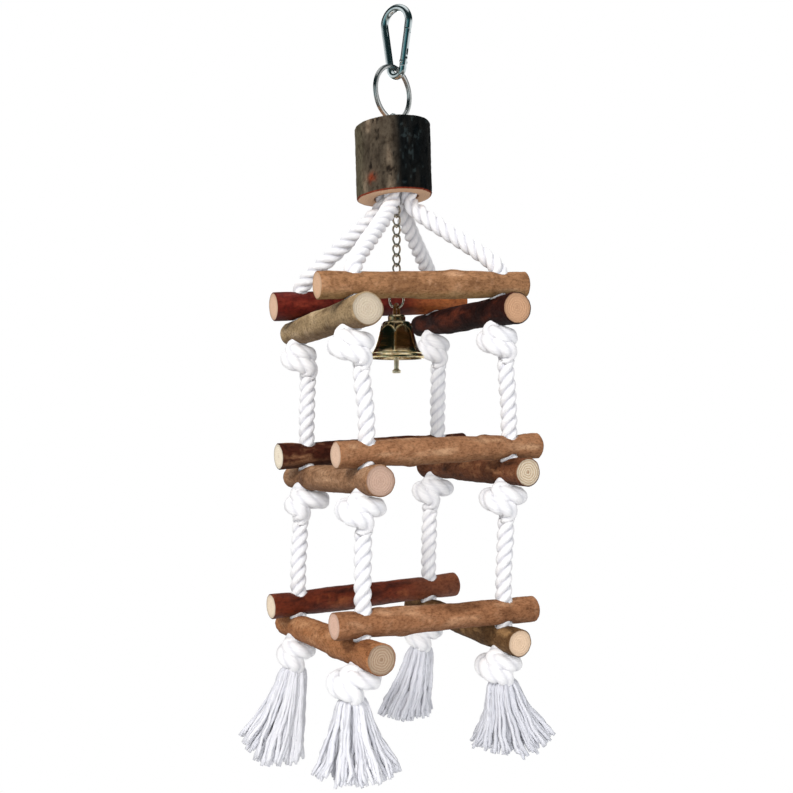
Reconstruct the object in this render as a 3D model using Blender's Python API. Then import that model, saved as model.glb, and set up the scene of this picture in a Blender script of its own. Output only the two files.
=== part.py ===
"""Hanging bark-stick rope ladder tower: a climbing toy for pet birds.

A snap hook and a split ring carry a drilled slice of a branch. Four ropes leave the bore in its
underside and run through three square tiers of four sticks, with a knot under every crossing and a
tassel at the end. A chain in the middle carries a bell. All sizes are in metres, +Z is up, and the
origin is the inside top of the snap hook, the point that the toy hangs from. +X runs along the front
sticks, from left to right, and +Y from the front sticks to the back ones.
"""

from math import atan2, cos, pi, radians, sin

import bmesh
import bpy
from mathutils import Matrix, Vector

MM = 0.001
GAP = 0.3 * MM

# Snap hook: a pear of round wire in a vertical plane, its wide end up and its gate on the right leg.
HOOK_WIRE = 4.0 * MM
HOOK_WIDE = 20.0 * MM
HOOK_NARROW = 12.0 * MM
HOOK_LENGTH = 40.5 * MM
HOOK_TURN = radians(-63)
GATE_RADIUS = 1.9 * MM
RIVET_Z = -27.6 * MM
GATE_TIP_Z = -10.6 * MM
TANG_THICKNESS = 1.3 * MM
SLOT_WIDTH = 1.7 * MM
RIVET_RADIUS = 0.6 * MM
RIVET_CLEARANCE = 0.2 * MM
SPRING_RADIUS = 0.55 * MM
SPRING_WIRE = 0.13 * MM
SPRING_TURNS = 4

# Split ring: it touches the hook a little to the right of its own top.
RING_OUTER = 14.6 * MM
RING_RADIAL = 2.2 * MM
RING_DEPTH = 2.0 * MM
RING_TURN = radians(24.5)
RING_SIDEWAYS = 3.2 * MM
RING_Z = -44.25 * MM

# Block, its bore and its screw eyes. The branch isn't straight over the bore, and its two sawn faces
# rise by these shares to +X and +Y.
BLOCK_RADIUS = 20.0 * MM
BLOCK_TOP = -61.3 * MM
BLOCK_BOTTOM = -99.5 * MM
BLOCK_TOP_CENTRE = (-2.2 * MM, 0.2 * MM)
BLOCK_BOTTOM_CENTRE = (-1.1 * MM, 0.0)
BLOCK_SLOPE = (0.055, -0.085)
BORE_RADIUS = 11.8 * MM
BORE_TOP = -82.0 * MM
TOP_EYE_WIRE = 1.3 * MM
TOP_EYE_RADIUS = 2.4 * MM
TOP_EYE_Z = RING_Z - RING_OUTER + RING_RADIAL + GAP - TOP_EYE_RADIUS + TOP_EYE_WIRE / 2
TOP_EYE_DEPTH = 12.0 * MM
BOTTOM_EYE_WIRE = 1.1 * MM
BOTTOM_EYE_RADIUS = 2.05 * MM
BOTTOM_EYE_Z = -102.6 * MM
BOTTOM_EYE_DEPTH = 8.0 * MM

# Ropes and their knots.
ROPE_DIAMETER = 8.6 * MM
ROPE_BORE = 9.2 * MM
ROPE_STEP = 17.0 * MM
ROPE_ROOT = 5.0 * MM
ROPE_START = -84.0 * MM
ROPE_LEAVES = -101.2 * MM
ROPE_BEND = 8.0 * MM
ROPE_UPRIGHT = 8.5 * MM
KNOT_DEPTH = 18.0 * MM
KNOT_HEIGHT = 16.0 * MM
KNOT_GAP = 0.6 * MM
# The knots bulge along this direction. Each has a width, a shift of its widest part and a shift of
# the rope that leaves it, in mm.
KNOT_SIDE = (0.9, -0.436)
KNOTS = {
    (1, "fl"): (23.6, -0.5, 4.3),
    (1, "fr"): (21.4, -0.5, 3.5),
    (1, "bl"): (20.0, -0.4, 4.3),
    (1, "br"): (19.0, 0.0, 2.6),
    (2, "fl"): (24.8, -2.0, -1.6),
    (2, "fr"): (24.4, -2.2, -1.6),
    (2, "bl"): (25.4, 0.6, -3.4),
    (2, "br"): (23.8, -2.2, -4.6),
    (3, "fl"): (26.2, -3.2, -5.0),
    (3, "fr"): (24.0, -1.9, -0.6),
    (3, "bl"): (21.4, -0.9, -2.0),
    (3, "br"): (22.0, -2.6, -4.6),
}

# Tiers. Rope holes sit on a rectangle of half sides HOLE_X and HOLE_Y. Hand-tied knots leave each
# tier a little out of level: it rises to the right and to the back by the given angles, with a twist
# at its corners (warp), and it is turned and shifted on the toy's axis.
HOLE_X = 40.4 * MM
HOLE_Y = 38.9 * MM
TIERS = {
    1: dict(level=-157.7, right=3.7, back=-1.5, warp=0.6, turn=-2.3, shift=(0.3, 0.7)),
    2: dict(level=-239.5, right=2.6, back=-0.9, warp=0.4, turn=0.2, shift=(4.8, -0.5)),
    3: dict(level=-321.4, right=1.3, back=1.4, warp=0.8, turn=2.1, shift=(0.5, -1.3)),
}
# Each stick: diameters at its left or near end and at its far end, length, and shift along itself.
STICKS = {
    (1, "front"): (13.3, 14.0, 114.2, -1.7),
    (1, "back"): (15.4, 13.6, 115.0, 1.7),
    (1, "left"): (16.0, 13.6, 111.5, -2.5),
    (1, "right"): (15.6, 12.6, 115.5, -0.5),
    (2, "front"): (13.4, 12.8, 114.3, 0.4),
    (2, "back"): (14.0, 13.0, 114.1, 0.3),
    (2, "left"): (15.2, 12.4, 113.0, 1.8),
    (2, "right"): (14.5, 12.8, 110.0, -2.2),
    (3, "front"): (13.8, 13.0, 114.2, 1.4),
    (3, "back"): (13.6, 12.8, 113.8, 0.7),
    (3, "left"): (15.6, 12.8, 114.0, -1.8),
    (3, "right"): (14.4, 12.6, 110.0, 1.3),
}
STICK_SIDES = 16
WAIST = 0.5 * MM
WAIST_LENGTH = 9.0 * MM
CORNERS = {"fl": (-1, -1), "fr": (1, -1), "bl": (-1, 1), "br": (1, 1)}
# Each tassel: how far its foot leans to +X and +Y, the radius of its foot and its level, in mm.
TASSELS = {
    "fl": (1.5, -0.7, 22.0, -389.0),
    "fr": (4.1, -2.0, 21.0, -386.5),
    "bl": (-10.4, 5.0, 17.0, -401.0),
    "br": (-8.2, 4.0, 15.2, -386.5),
}
TASSEL_NECK = 5.0 * MM

# Chain, bell ring, bell and clapper.
LINKS = 9
LINK_PITCH = 5.2 * MM
LINK_WIRE = 1.1 * MM
LINK_INNER = LINK_PITCH + 0.2 * MM
LINK_WIDTH = 5.0 * MM
LINK_TWIST = radians(90)
BELL_RING_RADIUS = 3.9 * MM
BELL_RING_WIRE = 1.2 * MM
BELL_TOP = -161.4 * MM
CLAPPER_TIP = -192.6 * MM
CLAPPER_ROD = 1.4 * MM


def clear_scene():
    for thing in list(bpy.data.objects):
        bpy.data.objects.remove(thing, do_unlink=True)


def material(name, colour, roughness, metallic=0.0):
    made = bpy.data.materials.new(name)
    made.use_nodes = True
    shader = made.node_tree.nodes["Principled BSDF"]
    shader.inputs["Base Color"].default_value = (*colour, 1.0)
    shader.inputs["Roughness"].default_value = roughness
    shader.inputs["Metallic"].default_value = metallic
    return made


def link_object(name, data, finish=None):
    thing = bpy.data.objects.new(name, data)
    bpy.context.scene.collection.objects.link(thing)
    if finish:
        data.materials.append(finish)
    return thing


def mesh_object(name, shape, finish=None, sharp=40):
    """Turns a bmesh into an object, with its faces pointing out and its round faces smooth."""
    bmesh.ops.recalc_face_normals(shape, faces=shape.faces)
    data = bpy.data.meshes.new(name)
    shape.to_mesh(data)
    shape.free()
    data.shade_smooth()
    data.set_sharp_from_angle(angle=radians(sharp))
    return link_object(name, data, finish)


def loft(rings, closed=False):
    """Joins rings of points, all of one count, into a tube: capped at its ends, or closed on itself."""
    shape = bmesh.new()
    loops = [[shape.verts.new(point) for point in ring] for ring in rings]
    pairs = list(zip(loops, loops[1:]))
    if closed:
        pairs.append((loops[-1], loops[0]))
    for first, second in pairs:
        count = len(first)
        for i in range(count):
            j = (i + 1) % count
            shape.faces.new((first[i], first[j], second[j], second[i]))
    if not closed:
        shape.faces.new(loops[0])
        shape.faces.new(loops[-1])
    return shape


def swept(points, radii, sides, closed=False, start_normal=None):
    """A round tube along points, whose sections turn with the path and don't twist."""
    count = len(points)
    normal = start_normal
    rings = []
    for i, point in enumerate(points):
        before = points[i - 1] if i > 0 or closed else point
        after = points[(i + 1) % count] if i < count - 1 or closed else point
        along = (after - before).normalized()
        if normal is None:
            normal = along.orthogonal()
        normal = (normal - along * normal.dot(along)).normalized()
        across = along.cross(normal)
        ring = []
        for k in range(sides):
            angle = 2 * pi * k / sides
            ring.append(point + radii[i] * (cos(angle) * normal + sin(angle) * across))
        rings.append(ring)
    return loft(rings, closed)


def turned(profile, sides, centre=(0.0, 0.0)):
    """A closed solid of revolution about a vertical line: profile is a loop of (radius, z)."""
    rings = []
    for i in range(sides):
        angle = 2 * pi * i / sides
        x, y = cos(angle), sin(angle)
        rings.append([Vector((centre[0] + r * x, centre[1] + r * y, z)) for r, z in profile])
    return loft(rings, closed=True)


def spindle(profile, sides):
    """A solid of revolution whose profile, a list of (radius, z), starts and ends at flat discs."""
    rings = []
    for radius, z in profile:
        angles = [2 * pi * i / sides for i in range(sides)]
        rings.append([Vector((radius * cos(a), radius * sin(a), z)) for a in angles])
    return loft(rings)


def cutter(name, shape):
    """A guide that only cuts: it is no part of the toy."""
    thing = mesh_object(name, shape)
    thing.hide_render = True
    thing.display_type = "WIRE"
    return thing


def cut(target, tool):
    boolean = target.modifiers.new(tool.name, "BOOLEAN")
    boolean.operation = "DIFFERENCE"
    boolean.solver = "EXACT"
    boolean.object = tool


def unite(target, tool):
    boolean = target.modifiers.new(tool.name, "BOOLEAN")
    boolean.operation = "UNION"
    boolean.solver = "EXACT"
    boolean.object = tool


# ---------------------------------------------------------------- snap hook and ring


def hook_frame():
    """The hook's plane: its local X runs from the spine to the gate, and its local Y is its normal."""
    return Matrix.Rotation(HOOK_TURN, 4, "Z")


def hook_outline():
    """Centres and radii of the hook's wide and narrow bends, measured to the wire's centre line."""
    wide = (HOOK_WIDE - HOOK_WIRE) / 2
    narrow = (HOOK_NARROW - HOOK_WIRE) / 2
    wide_z = HOOK_WIRE / 2 - wide
    narrow_z = 1.5 * HOOK_WIRE - HOOK_LENGTH + narrow
    return wide, wide_z, narrow, narrow_z


def leg_x(z):
    """The right leg's centre line at height z: a straight line that touches both bends."""
    wide, wide_z, narrow, narrow_z = hook_outline()
    lean = (wide - narrow) / (wide_z - narrow_z)
    return (wide + lean * (z - wide_z)) * (1 + lean**2 / 2)


def hook_points(gate_side_top, gate_side_bottom):
    """The wire's centre line from the nose, over the wide end, down the spine and round to the tang."""
    wide, wide_z, narrow, narrow_z = hook_outline()
    slope = atan2(wide - narrow, wide_z - narrow_z)
    points = [Vector((leg_x(gate_side_top), 0, gate_side_top))]
    turns = 12
    for i in range(turns + 1):
        angle = -slope + (pi + 2 * slope) * i / turns
        points.append(Vector((wide * cos(angle), 0, wide_z + wide * sin(angle))))
    turns = 9
    for i in range(turns + 1):
        angle = pi + slope + (pi - 2 * slope) * i / turns
        points.append(Vector((narrow * cos(angle), 0, narrow_z + narrow * sin(angle))))
    points.append(Vector((leg_x(gate_side_bottom), 0, gate_side_bottom)))
    return points


def leg_box(half_x, half_y, low, high):
    """A box along the right leg, in the hook's plane."""
    rings = []
    for z in (low, high):
        x = leg_x(z)
        corners = ((-1, -1), (1, -1), (1, 1), (-1, 1))
        rings.append([Vector((x + a * half_x, b * half_y, z)) for a, b in corners])
    return loft(rings)


def hook_rod(radius, length, centre_x, centre_z, sides=12):
    """A rod across the hook's plane, centred on it."""
    shape = bmesh.new()
    across = Matrix.Rotation(pi / 2, 4, "X")
    place = Matrix.Translation((centre_x, 0, centre_z)) @ across
    bmesh.ops.create_cone(
        shape, cap_ends=True, segments=sides, radius1=radius, radius2=radius, depth=length, matrix=place
    )
    return shape


def make_hook(steel):
    nose_z = GATE_TIP_Z - 1.6 * MM
    tang_z = RIVET_Z + 1.6 * MM
    points = hook_points(nose_z, tang_z)
    shape = swept(points, [HOOK_WIRE / 2] * len(points), 12, start_normal=Vector((0, 1, 0)))
    body = mesh_object("carabiner_hook", shape, steel)
    body.matrix_world = hook_frame()
    big = HOOK_WIRE
    for side in (-1, 1):
        for label, low, high in (
            ("nose", nose_z - big, GATE_TIP_Z + 0.4 * MM),
            ("tang", RIVET_Z - 2.5 * MM, tang_z + big),
        ):
            block = leg_box(big, big / 2, low, high)
            offset = side * (TANG_THICKNESS / 2 + big / 2)
            bmesh.ops.translate(block, verts=block.verts, vec=(0, offset, 0))
            tool = cutter(f"cut_{label}_{'near' if side < 0 else 'far'}", block)
            tool.matrix_world = hook_frame()
            cut(body, tool)
    hole = hook_rod(RIVET_RADIUS + RIVET_CLEARANCE, 2 * big, leg_x(RIVET_Z), RIVET_Z)
    tool = cutter("cut_tang_hole", hole)
    tool.matrix_world = hook_frame()
    cut(body, tool)
    return body


def make_gate(steel):
    pivot = Vector((leg_x(RIVET_Z), 0, RIVET_Z))
    low = RIVET_Z - 1.5 * MM
    ends = [Vector((leg_x(z), 0, z)) for z in (low, GATE_TIP_Z)]
    shape = swept(ends, [GATE_RADIUS] * 2, 16, start_normal=Vector((0, 1, 0)))
    bmesh.ops.translate(shape, verts=shape.verts, vec=-pivot)
    gate = mesh_object("carabiner_gate", shape, steel)
    gate.matrix_world = hook_frame() @ Matrix.Translation(pivot)
    big = 3 * MM
    tools = [
        ("cut_gate_fork", leg_box(big, SLOT_WIDTH / 2, low - big, RIVET_Z + 2.45 * MM)),
        ("cut_gate_notch", leg_box(big, SLOT_WIDTH / 2, GATE_TIP_Z - 2.2 * MM, GATE_TIP_Z + big)),
        ("cut_gate_rivet", hook_rod(RIVET_RADIUS + RIVET_CLEARANCE, 3 * big, pivot.x, pivot.z)),
    ]
    spring_well = [Vector((leg_x(z), 0, z)) for z in (RIVET_Z + big / 2, RIVET_Z + 7.6 * MM)]
    tools.append(("cut_gate_well", swept(spring_well, [0.85 * MM] * 2, 12)))
    window = leg_box(1.5 * MM, 0.6 * MM, RIVET_Z + 3.4 * MM, RIVET_Z + 6.6 * MM)
    bmesh.ops.translate(window, verts=window.verts, vec=(1.7 * MM, 0, 0))
    tools.append(("cut_gate_window", window))
    for name, tool_shape in tools:
        tool = cutter(name, tool_shape)
        tool.matrix_world = hook_frame()
        cut(gate, tool)
    return gate


def make_rivet(steel):
    half = GATE_RADIUS + 0.1 * MM
    head = 0.45 * MM
    wide = RIVET_RADIUS * 2
    profile = [
        (wide * 0.7, -half - head),
        (wide, -half - head * 0.5),
        (wide, -half),
        (RIVET_RADIUS, -half),
        (RIVET_RADIUS, half),
        (wide, half),
        (wide, half + head * 0.5),
        (wide * 0.7, half + head),
    ]
    rivet = mesh_object("gate_rivet", spindle(profile, 12), steel)
    place = Matrix.Translation((leg_x(RIVET_Z), 0, RIVET_Z)) @ Matrix.Rotation(pi / 2, 4, "X")
    rivet.matrix_world = hook_frame() @ place
    return rivet


def make_gate_spring(steel):
    steps = 8 * SPRING_TURNS
    low = RIVET_Z + 2.6 * MM
    high = RIVET_Z + 7.2 * MM
    points = []
    for i in range(steps + 1):
        z = low + (high - low) * i / steps
        angle = 2 * pi * SPRING_TURNS * i / steps
        offset = Vector((SPRING_RADIUS * cos(angle), SPRING_RADIUS * sin(angle), 0))
        points.append(Vector((leg_x(z), 0, z)) + offset)
    shape = swept(points, [SPRING_WIRE] * len(points), 6)
    spring = mesh_object("gate_spring", shape, steel)
    spring.matrix_world = hook_frame()
    return spring


def ring_centre():
    """The ring's middle seen from above. The block's top eye hangs under it."""
    return -RING_SIDEWAYS * cos(RING_TURN), -RING_SIDEWAYS * sin(RING_TURN)


def make_split_ring(steel):
    section = []
    for k in range(8):
        angle = 2 * pi * (k + 0.5) / 8
        section.append((cos(angle) * RING_RADIAL / 2, sin(angle) * RING_DEPTH / 2))
    middle = RING_OUTER - RING_RADIAL / 2 * cos(pi / 8)
    rings = []
    count = 32
    for i in range(count):
        angle = 2 * pi * i / count
        out = Vector((cos(angle), 0, sin(angle)))
        rings.append([out * (middle + a) + Vector((0, b, 0)) for a, b in section])
    ring = mesh_object("split_ring", loft(rings, closed=True), steel)
    place = Matrix.Translation((*ring_centre(), RING_Z))
    ring.matrix_world = place @ Matrix.Rotation(RING_TURN, 4, "Z")
    return ring


# ---------------------------------------------------------------- block and screw eyes


def make_eye(name, steel, radius, wire, at, shank_end, turn):
    """A wire eye in a vertical plane with its shank going up or down to shank_end."""
    way = 1 if shank_end > at[2] else -1
    bend = 10
    points = [Vector((0, 0, shank_end - at[2])), Vector((0, 0, way * (radius + wire)))]
    opening = radians(34)
    for i in range(bend + 1):
        angle = opening + (2 * pi - 2 * opening) * i / bend
        points.append(Vector((radius * sin(angle), 0, way * radius * cos(angle))))
    shape = swept(points, [wire / 2] * len(points), 8, start_normal=Vector((0, 1, 0)))
    eye = mesh_object(name, shape, steel)
    eye.matrix_world = Matrix.Translation(at) @ Matrix.Rotation(turn, 4, "Z")
    return eye


def make_block(bark):
    """A slice of a branch, slightly out of round, with the rope bore and two pilot holes."""
    rings = []
    for share in (0.0, 0.5, 1.0):
        middle = Vector((*BLOCK_BOTTOM_CENTRE, BLOCK_BOTTOM)).lerp(Vector((*BLOCK_TOP_CENTRE, BLOCK_TOP)), share)
        ring = []
        for i in range(36):
            angle = 2 * pi * i / 36
            radius = BLOCK_RADIUS * (1 + 0.012 * sin(2 * angle + 0.6) + 0.006 * sin(5 * angle))
            x, y = radius * cos(angle), radius * sin(angle)
            rise = BLOCK_SLOPE[0] * (middle.x + x) + BLOCK_SLOPE[1] * (middle.y + y)
            ring.append(middle + Vector((x, y, rise)))
        rings.append(ring)
    block = mesh_object("hanger_block", loft(rings), bark)
    past = 4 * MM
    top_pilot = TOP_EYE_WIRE / 2 + GAP
    hole = spindle([(top_pilot, BLOCK_TOP - TOP_EYE_DEPTH - GAP), (top_pilot, BLOCK_TOP + past)], 10)
    bmesh.ops.translate(hole, verts=hole.verts, vec=(*ring_centre(), 0))
    cut(block, cutter("cut_top_pilot", hole))
    bore = [(BORE_RADIUS, BLOCK_BOTTOM - past), (BORE_RADIUS, BORE_TOP)]
    cut(block, cutter("cut_bore", spindle(bore, 32)))
    pilot = BOTTOM_EYE_WIRE / 2 + GAP
    hole = [(pilot, BORE_TOP - past), (pilot, BORE_TOP + BOTTOM_EYE_DEPTH + GAP)]
    cut(block, cutter("cut_bottom_pilot", spindle(hole, 10)))
    return block


# ---------------------------------------------------------------- tiers


def tier_point(tier, x, y):
    """A point of the tier's slightly tilted and turned middle plane, from its own x and y."""
    place = TIERS[tier]
    rise = x * sin(radians(place["right"])) + y * sin(radians(place["back"]))
    rise += place["warp"] * MM * (x / HOLE_X) * (y / HOLE_Y)
    turn = radians(place["turn"])
    return Vector(
        (
            x * cos(turn) - y * sin(turn) + place["shift"][0] * MM,
            x * sin(turn) + y * cos(turn) + place["shift"][1] * MM,
            place["level"] * MM + rise,
        )
    )


def corner(tier, name):
    x, y = CORNERS[name]
    return tier_point(tier, x * HOLE_X, y * HOLE_Y)


def stick_radius(tier, side, along):
    """The stick's radius at a distance from its middle: a taper, soft bumps, and a waist at each hole."""
    near, far, length, shift = STICKS[tier, side]
    share = along / (length * MM) + 0.5
    radius = (near + (far - near) * share) * MM / 2
    hole = HOLE_X if side in ("front", "back") else HOLE_Y
    for at in (-hole - shift * MM, hole - shift * MM):
        dip = 1 - min(1.0, abs(along - at) / WAIST_LENGTH)
        radius -= WAIST * dip * dip * (3 - 2 * dip)
    phase = tier * 1.7 + len(side)
    return radius + 0.25 * MM * sin(along / (11 * MM) + phase)


def pair_spacing(tier, name):
    """Half the height between the two sticks that cross at a corner, which rest on each other."""
    x, y = CORNERS[name]
    total = 0.0
    for side, sign, hole in (
        ("front" if y < 0 else "back", x, HOLE_X),
        ("left" if x < 0 else "right", y, HOLE_Y),
    ):
        total += stick_radius(tier, side, sign * hole - STICKS[tier, side][3] * MM)
    return (total + GAP) / 2


def stick_ends(tier, side):
    """The two corners that a stick passes, in order along it."""
    return {
        "front": ("fl", "fr"),
        "back": ("bl", "br"),
        "left": ("fl", "bl"),
        "right": ("fr", "br"),
    }[side]


def stick_line(tier, side):
    """The stick's middle and direction, from the heights of the crossings at its two corners."""
    sign = 1 if side in ("front", "back") else -1
    ends = []
    for name in stick_ends(tier, side):
        ends.append(corner(tier, name) + Vector((0, 0, sign * pair_spacing(tier, name))))
    along = (ends[1] - ends[0]).normalized()
    return (ends[0] + ends[1]) / 2 + along * STICKS[tier, side][3] * MM, along


def make_stick(tier, side, bark):
    stations = 8
    length = STICKS[tier, side][2] * MM
    rings = []
    for i in range(stations):
        along = length * (i / (stations - 1) - 0.5)
        radius = stick_radius(tier, side, along)
        ring = []
        for k in range(STICK_SIDES):
            angle = 2 * pi * k / STICK_SIDES
            bump = 1 + 0.015 * sin(3 * angle + 2 * i)
            ring.append(Vector((along, radius * bump * cos(angle), radius * bump * sin(angle))))
        rings.append(ring)
    stick = mesh_object(f"tier_{tier}_{side}_stick", loft(rings), bark)
    middle, along = stick_line(tier, side)
    turn = Vector((1, 0, 0)).rotation_difference(along).to_matrix().to_4x4()
    stick.matrix_world = Matrix.Translation(middle) @ turn
    return stick


def make_tier(tier, finishes):
    sticks = {side: make_stick(tier, side, finishes[side]) for side in ("front", "back", "left", "right")}
    for name in CORNERS:
        at = corner(tier, name)
        reach = 18 * MM
        drill = spindle([(ROPE_BORE / 2, at.z - reach), (ROPE_BORE / 2, at.z + reach)], 12)
        bmesh.ops.translate(drill, verts=drill.verts, vec=(at.x, at.y, 0))
        tool = cutter(f"drill_{tier}_{name}", drill)
        for side, ends in ((side, stick_ends(tier, side)) for side in sticks):
            if name in ends:
                cut(sticks[side], tool)


# ---------------------------------------------------------------- ropes, knots and tassels


def bezier(a, b, c, d, share):
    rest = 1 - share
    return rest**3 * a + 3 * rest**2 * share * b + 3 * rest * share**2 * c + share**3 * d


def stick_under(tier, name):
    """The underside of the lower stick at a corner."""
    side = "left" if CORNERS[name][0] < 0 else "right"
    radius = stick_radius(tier, side, CORNERS[name][1] * HOLE_Y - STICKS[tier, side][3] * MM)
    return corner(tier, name).z - pair_spacing(tier, name) - radius


def stick_top(tier, name):
    """The top of the upper stick at a corner."""
    side = "front" if CORNERS[name][1] < 0 else "back"
    radius = stick_radius(tier, side, CORNERS[name][0] * HOLE_X - STICKS[tier, side][3] * MM)
    return corner(tier, name).z + pair_spacing(tier, name) + radius


def knot_top(tier, name):
    return stick_under(tier, name) - KNOT_GAP


def knot_exit(tier, name):
    """Where the rope leaves a knot, or a tassel hangs from it."""
    at = corner(tier, name)
    shift = KNOTS[tier, name][2] * MM
    return Vector((at.x + KNOT_SIDE[0] * shift, at.y + KNOT_SIDE[1] * shift, knot_top(tier, name) - KNOT_HEIGHT))


def rope_route(tier, name):
    """The centre line of the rope run that ends at a tier's knot.

    The first run starts in the block's bore and spreads to its corner. The others start under the
    knot above. Each ends upright, through the two drilled sticks."""
    at = corner(tier, name)
    low = Vector((at.x, at.y, knot_top(tier, name) + GAP))
    enter = Vector((at.x, at.y, stick_top(tier, name) + ROPE_UPRIGHT))
    if tier == 1:
        x, y = CORNERS[name]
        start = Vector((x * ROPE_ROOT, y * ROPE_ROOT, ROPE_START))
        leave = Vector((start.x, start.y, ROPE_LEAVES))
        enter.z = stick_top(tier, name) + 0.5 * MM
        handle = ROPE_BEND
    else:
        start = knot_exit(tier - 1, name) - Vector((0, 0, GAP))
        leave = start - Vector((0, 0, 1 * MM))
        handle = (leave.z - enter.z) / 3
    down = Vector((0, 0, -handle))
    steps = max(3, round((leave - enter).length / ROPE_STEP) + 1)
    if tier == 1:
        steps += 5
    points = [start]
    points += [bezier(leave, leave + down, enter - down, enter, i / steps) for i in range(steps + 1)]
    points.append(low)
    return points


def make_rope(tier, name, cotton):
    points = rope_route(tier, name)
    curve = bpy.data.curves.new(f"rope_{name}_{tier}", "CURVE")
    curve.dimensions = "3D"
    spline = curve.splines.new("POLY")
    spline.points.add(len(points) - 1)
    for slot, point in zip(spline.points, points):
        slot.co = (*point, 1.0)
    curve.bevel_depth = ROPE_DIAMETER / 2
    curve.bevel_resolution = 2
    curve.use_fill_caps = True
    return link_object(f"rope_{name}_{tier}", curve, cotton)


def make_knot(tier, name, cotton):
    """The outer shape of an overhand knot: flat where the ropes enter and leave, with a bulge."""
    width, lean, _ = KNOTS[tier, name]
    at = corner(tier, name)
    top = Vector((at.x, at.y, knot_top(tier, name)))
    side = Vector((*KNOT_SIDE, 0)).normalized()
    widest = top + side * lean * MM - Vector((0, 0, KNOT_HEIGHT / 2))
    across = Vector((-side.y, side.x, 0))
    leave = knot_exit(tier, name)
    rings = []
    for share in (0.0, 0.11, 0.29, 0.5, 0.71, 0.89, 1.0):
        level = 2 * share - 1
        swell = (1 - abs(level) ** 2.6) ** 0.5
        wide = ROPE_DIAMETER / 2 + (width * MM - ROPE_DIAMETER) / 2 * swell
        deep = ROPE_DIAMETER / 2 + (KNOT_DEPTH - ROPE_DIAMETER) / 2 * swell
        end = top if share < 0.5 else leave
        centre = end.lerp(widest, 1 - abs(level))
        ring = []
        for k in range(14):
            angle = 2 * pi * k / 14 + 0.35 * level
            ring.append(centre + wide * cos(angle) * side + deep * sin(angle) * across)
        rings.append(ring)
    return mesh_object(f"knot_{name}_{tier}", loft(rings), cotton)


def tassel_pivot(name):
    return knot_exit(3, name) - Vector((0, 0, GAP + TASSEL_NECK))


def make_tassel(name, cotton):
    """The outer shape of the unravelled rope end: a round head on its pivot, and a flared foot."""
    lean_x, lean_y, foot, level = TASSELS[name]
    pivot = tassel_pivot(name)
    length = pivot.z - level * MM
    lean = Vector((lean_x, lean_y, 0)) * MM
    rings = []
    for angle in (75, 45, 15):
        radius = TASSEL_NECK * cos(radians(angle))
        z = TASSEL_NECK * sin(radians(angle))
        rings.append((radius, Vector((0, 0, z))))
    for share in (0.12, 0.35, 0.65, 0.9, 1.0):
        radius = TASSEL_NECK + (foot * MM - TASSEL_NECK) * share**0.9
        if share == 1.0:
            radius *= 0.93
        rings.append((radius, lean * share**1.3 - Vector((0, 0, length * share))))
    loops = []
    for radius, centre in rings:
        angles = [2 * pi * k / 14 for k in range(14)]
        loops.append([centre + Vector((radius * cos(a), radius * sin(a) * 0.85, 0)) for a in angles])
    tassel = mesh_object(f"tassel_{name}", loft(loops), cotton)
    tassel.location = pivot
    return tassel


# ---------------------------------------------------------------- chain and bell


def link_centre(number):
    """The middle of a chain link, counted from the top."""
    bottom_of_eye = BOTTOM_EYE_Z - BOTTOM_EYE_RADIUS + BOTTOM_EYE_WIRE / 2
    first = bottom_of_eye + 0.2 * MM - LINK_INNER / 2
    return first - (number - 1) * LINK_PITCH


def make_link(number, nickel):
    """A twisted link: an oval of wire whose lower bend is turned a quarter turn from its upper one."""
    half_length = (LINK_INNER + LINK_WIRE) / 2
    half_width = (LINK_WIDTH - LINK_WIRE) / 2
    points = []
    count = 18
    for i in range(count):
        angle = 2 * pi * i / count
        z = half_length * cos(angle)
        width = half_width * sin(angle)
        turn = LINK_TWIST * (-z / (2 * half_length))
        points.append(Vector((width * cos(turn), width * sin(turn), z)))
    shape = swept(points, [LINK_WIRE / 2] * count, 6, closed=True, start_normal=Vector((0, 0, 1)))
    link = mesh_object(f"chain_link_{number}", shape, nickel)
    link.location = (0, 0, link_centre(number))
    return link


def bell_ring_centre():
    lowest = link_centre(LINKS) - LINK_INNER / 2
    return lowest + 0.2 * MM - BELL_RING_RADIUS + BELL_RING_WIRE / 2


def make_bell_ring(steel):
    points = []
    count = 24
    for i in range(count):
        angle = 2 * pi * i / count
        points.append(Vector((BELL_RING_RADIUS * cos(angle), 0, BELL_RING_RADIUS * sin(angle))))
    shape = swept(points, [BELL_RING_WIRE / 2] * count, 8, closed=True, start_normal=Vector((0, 1, 0)))
    ring = mesh_object("bell_ring", shape, steel)
    place = Matrix.Translation((0, 0, bell_ring_centre()))
    ring.matrix_world = place @ Matrix.Rotation(radians(-45), 4, "Z")
    return ring


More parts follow.
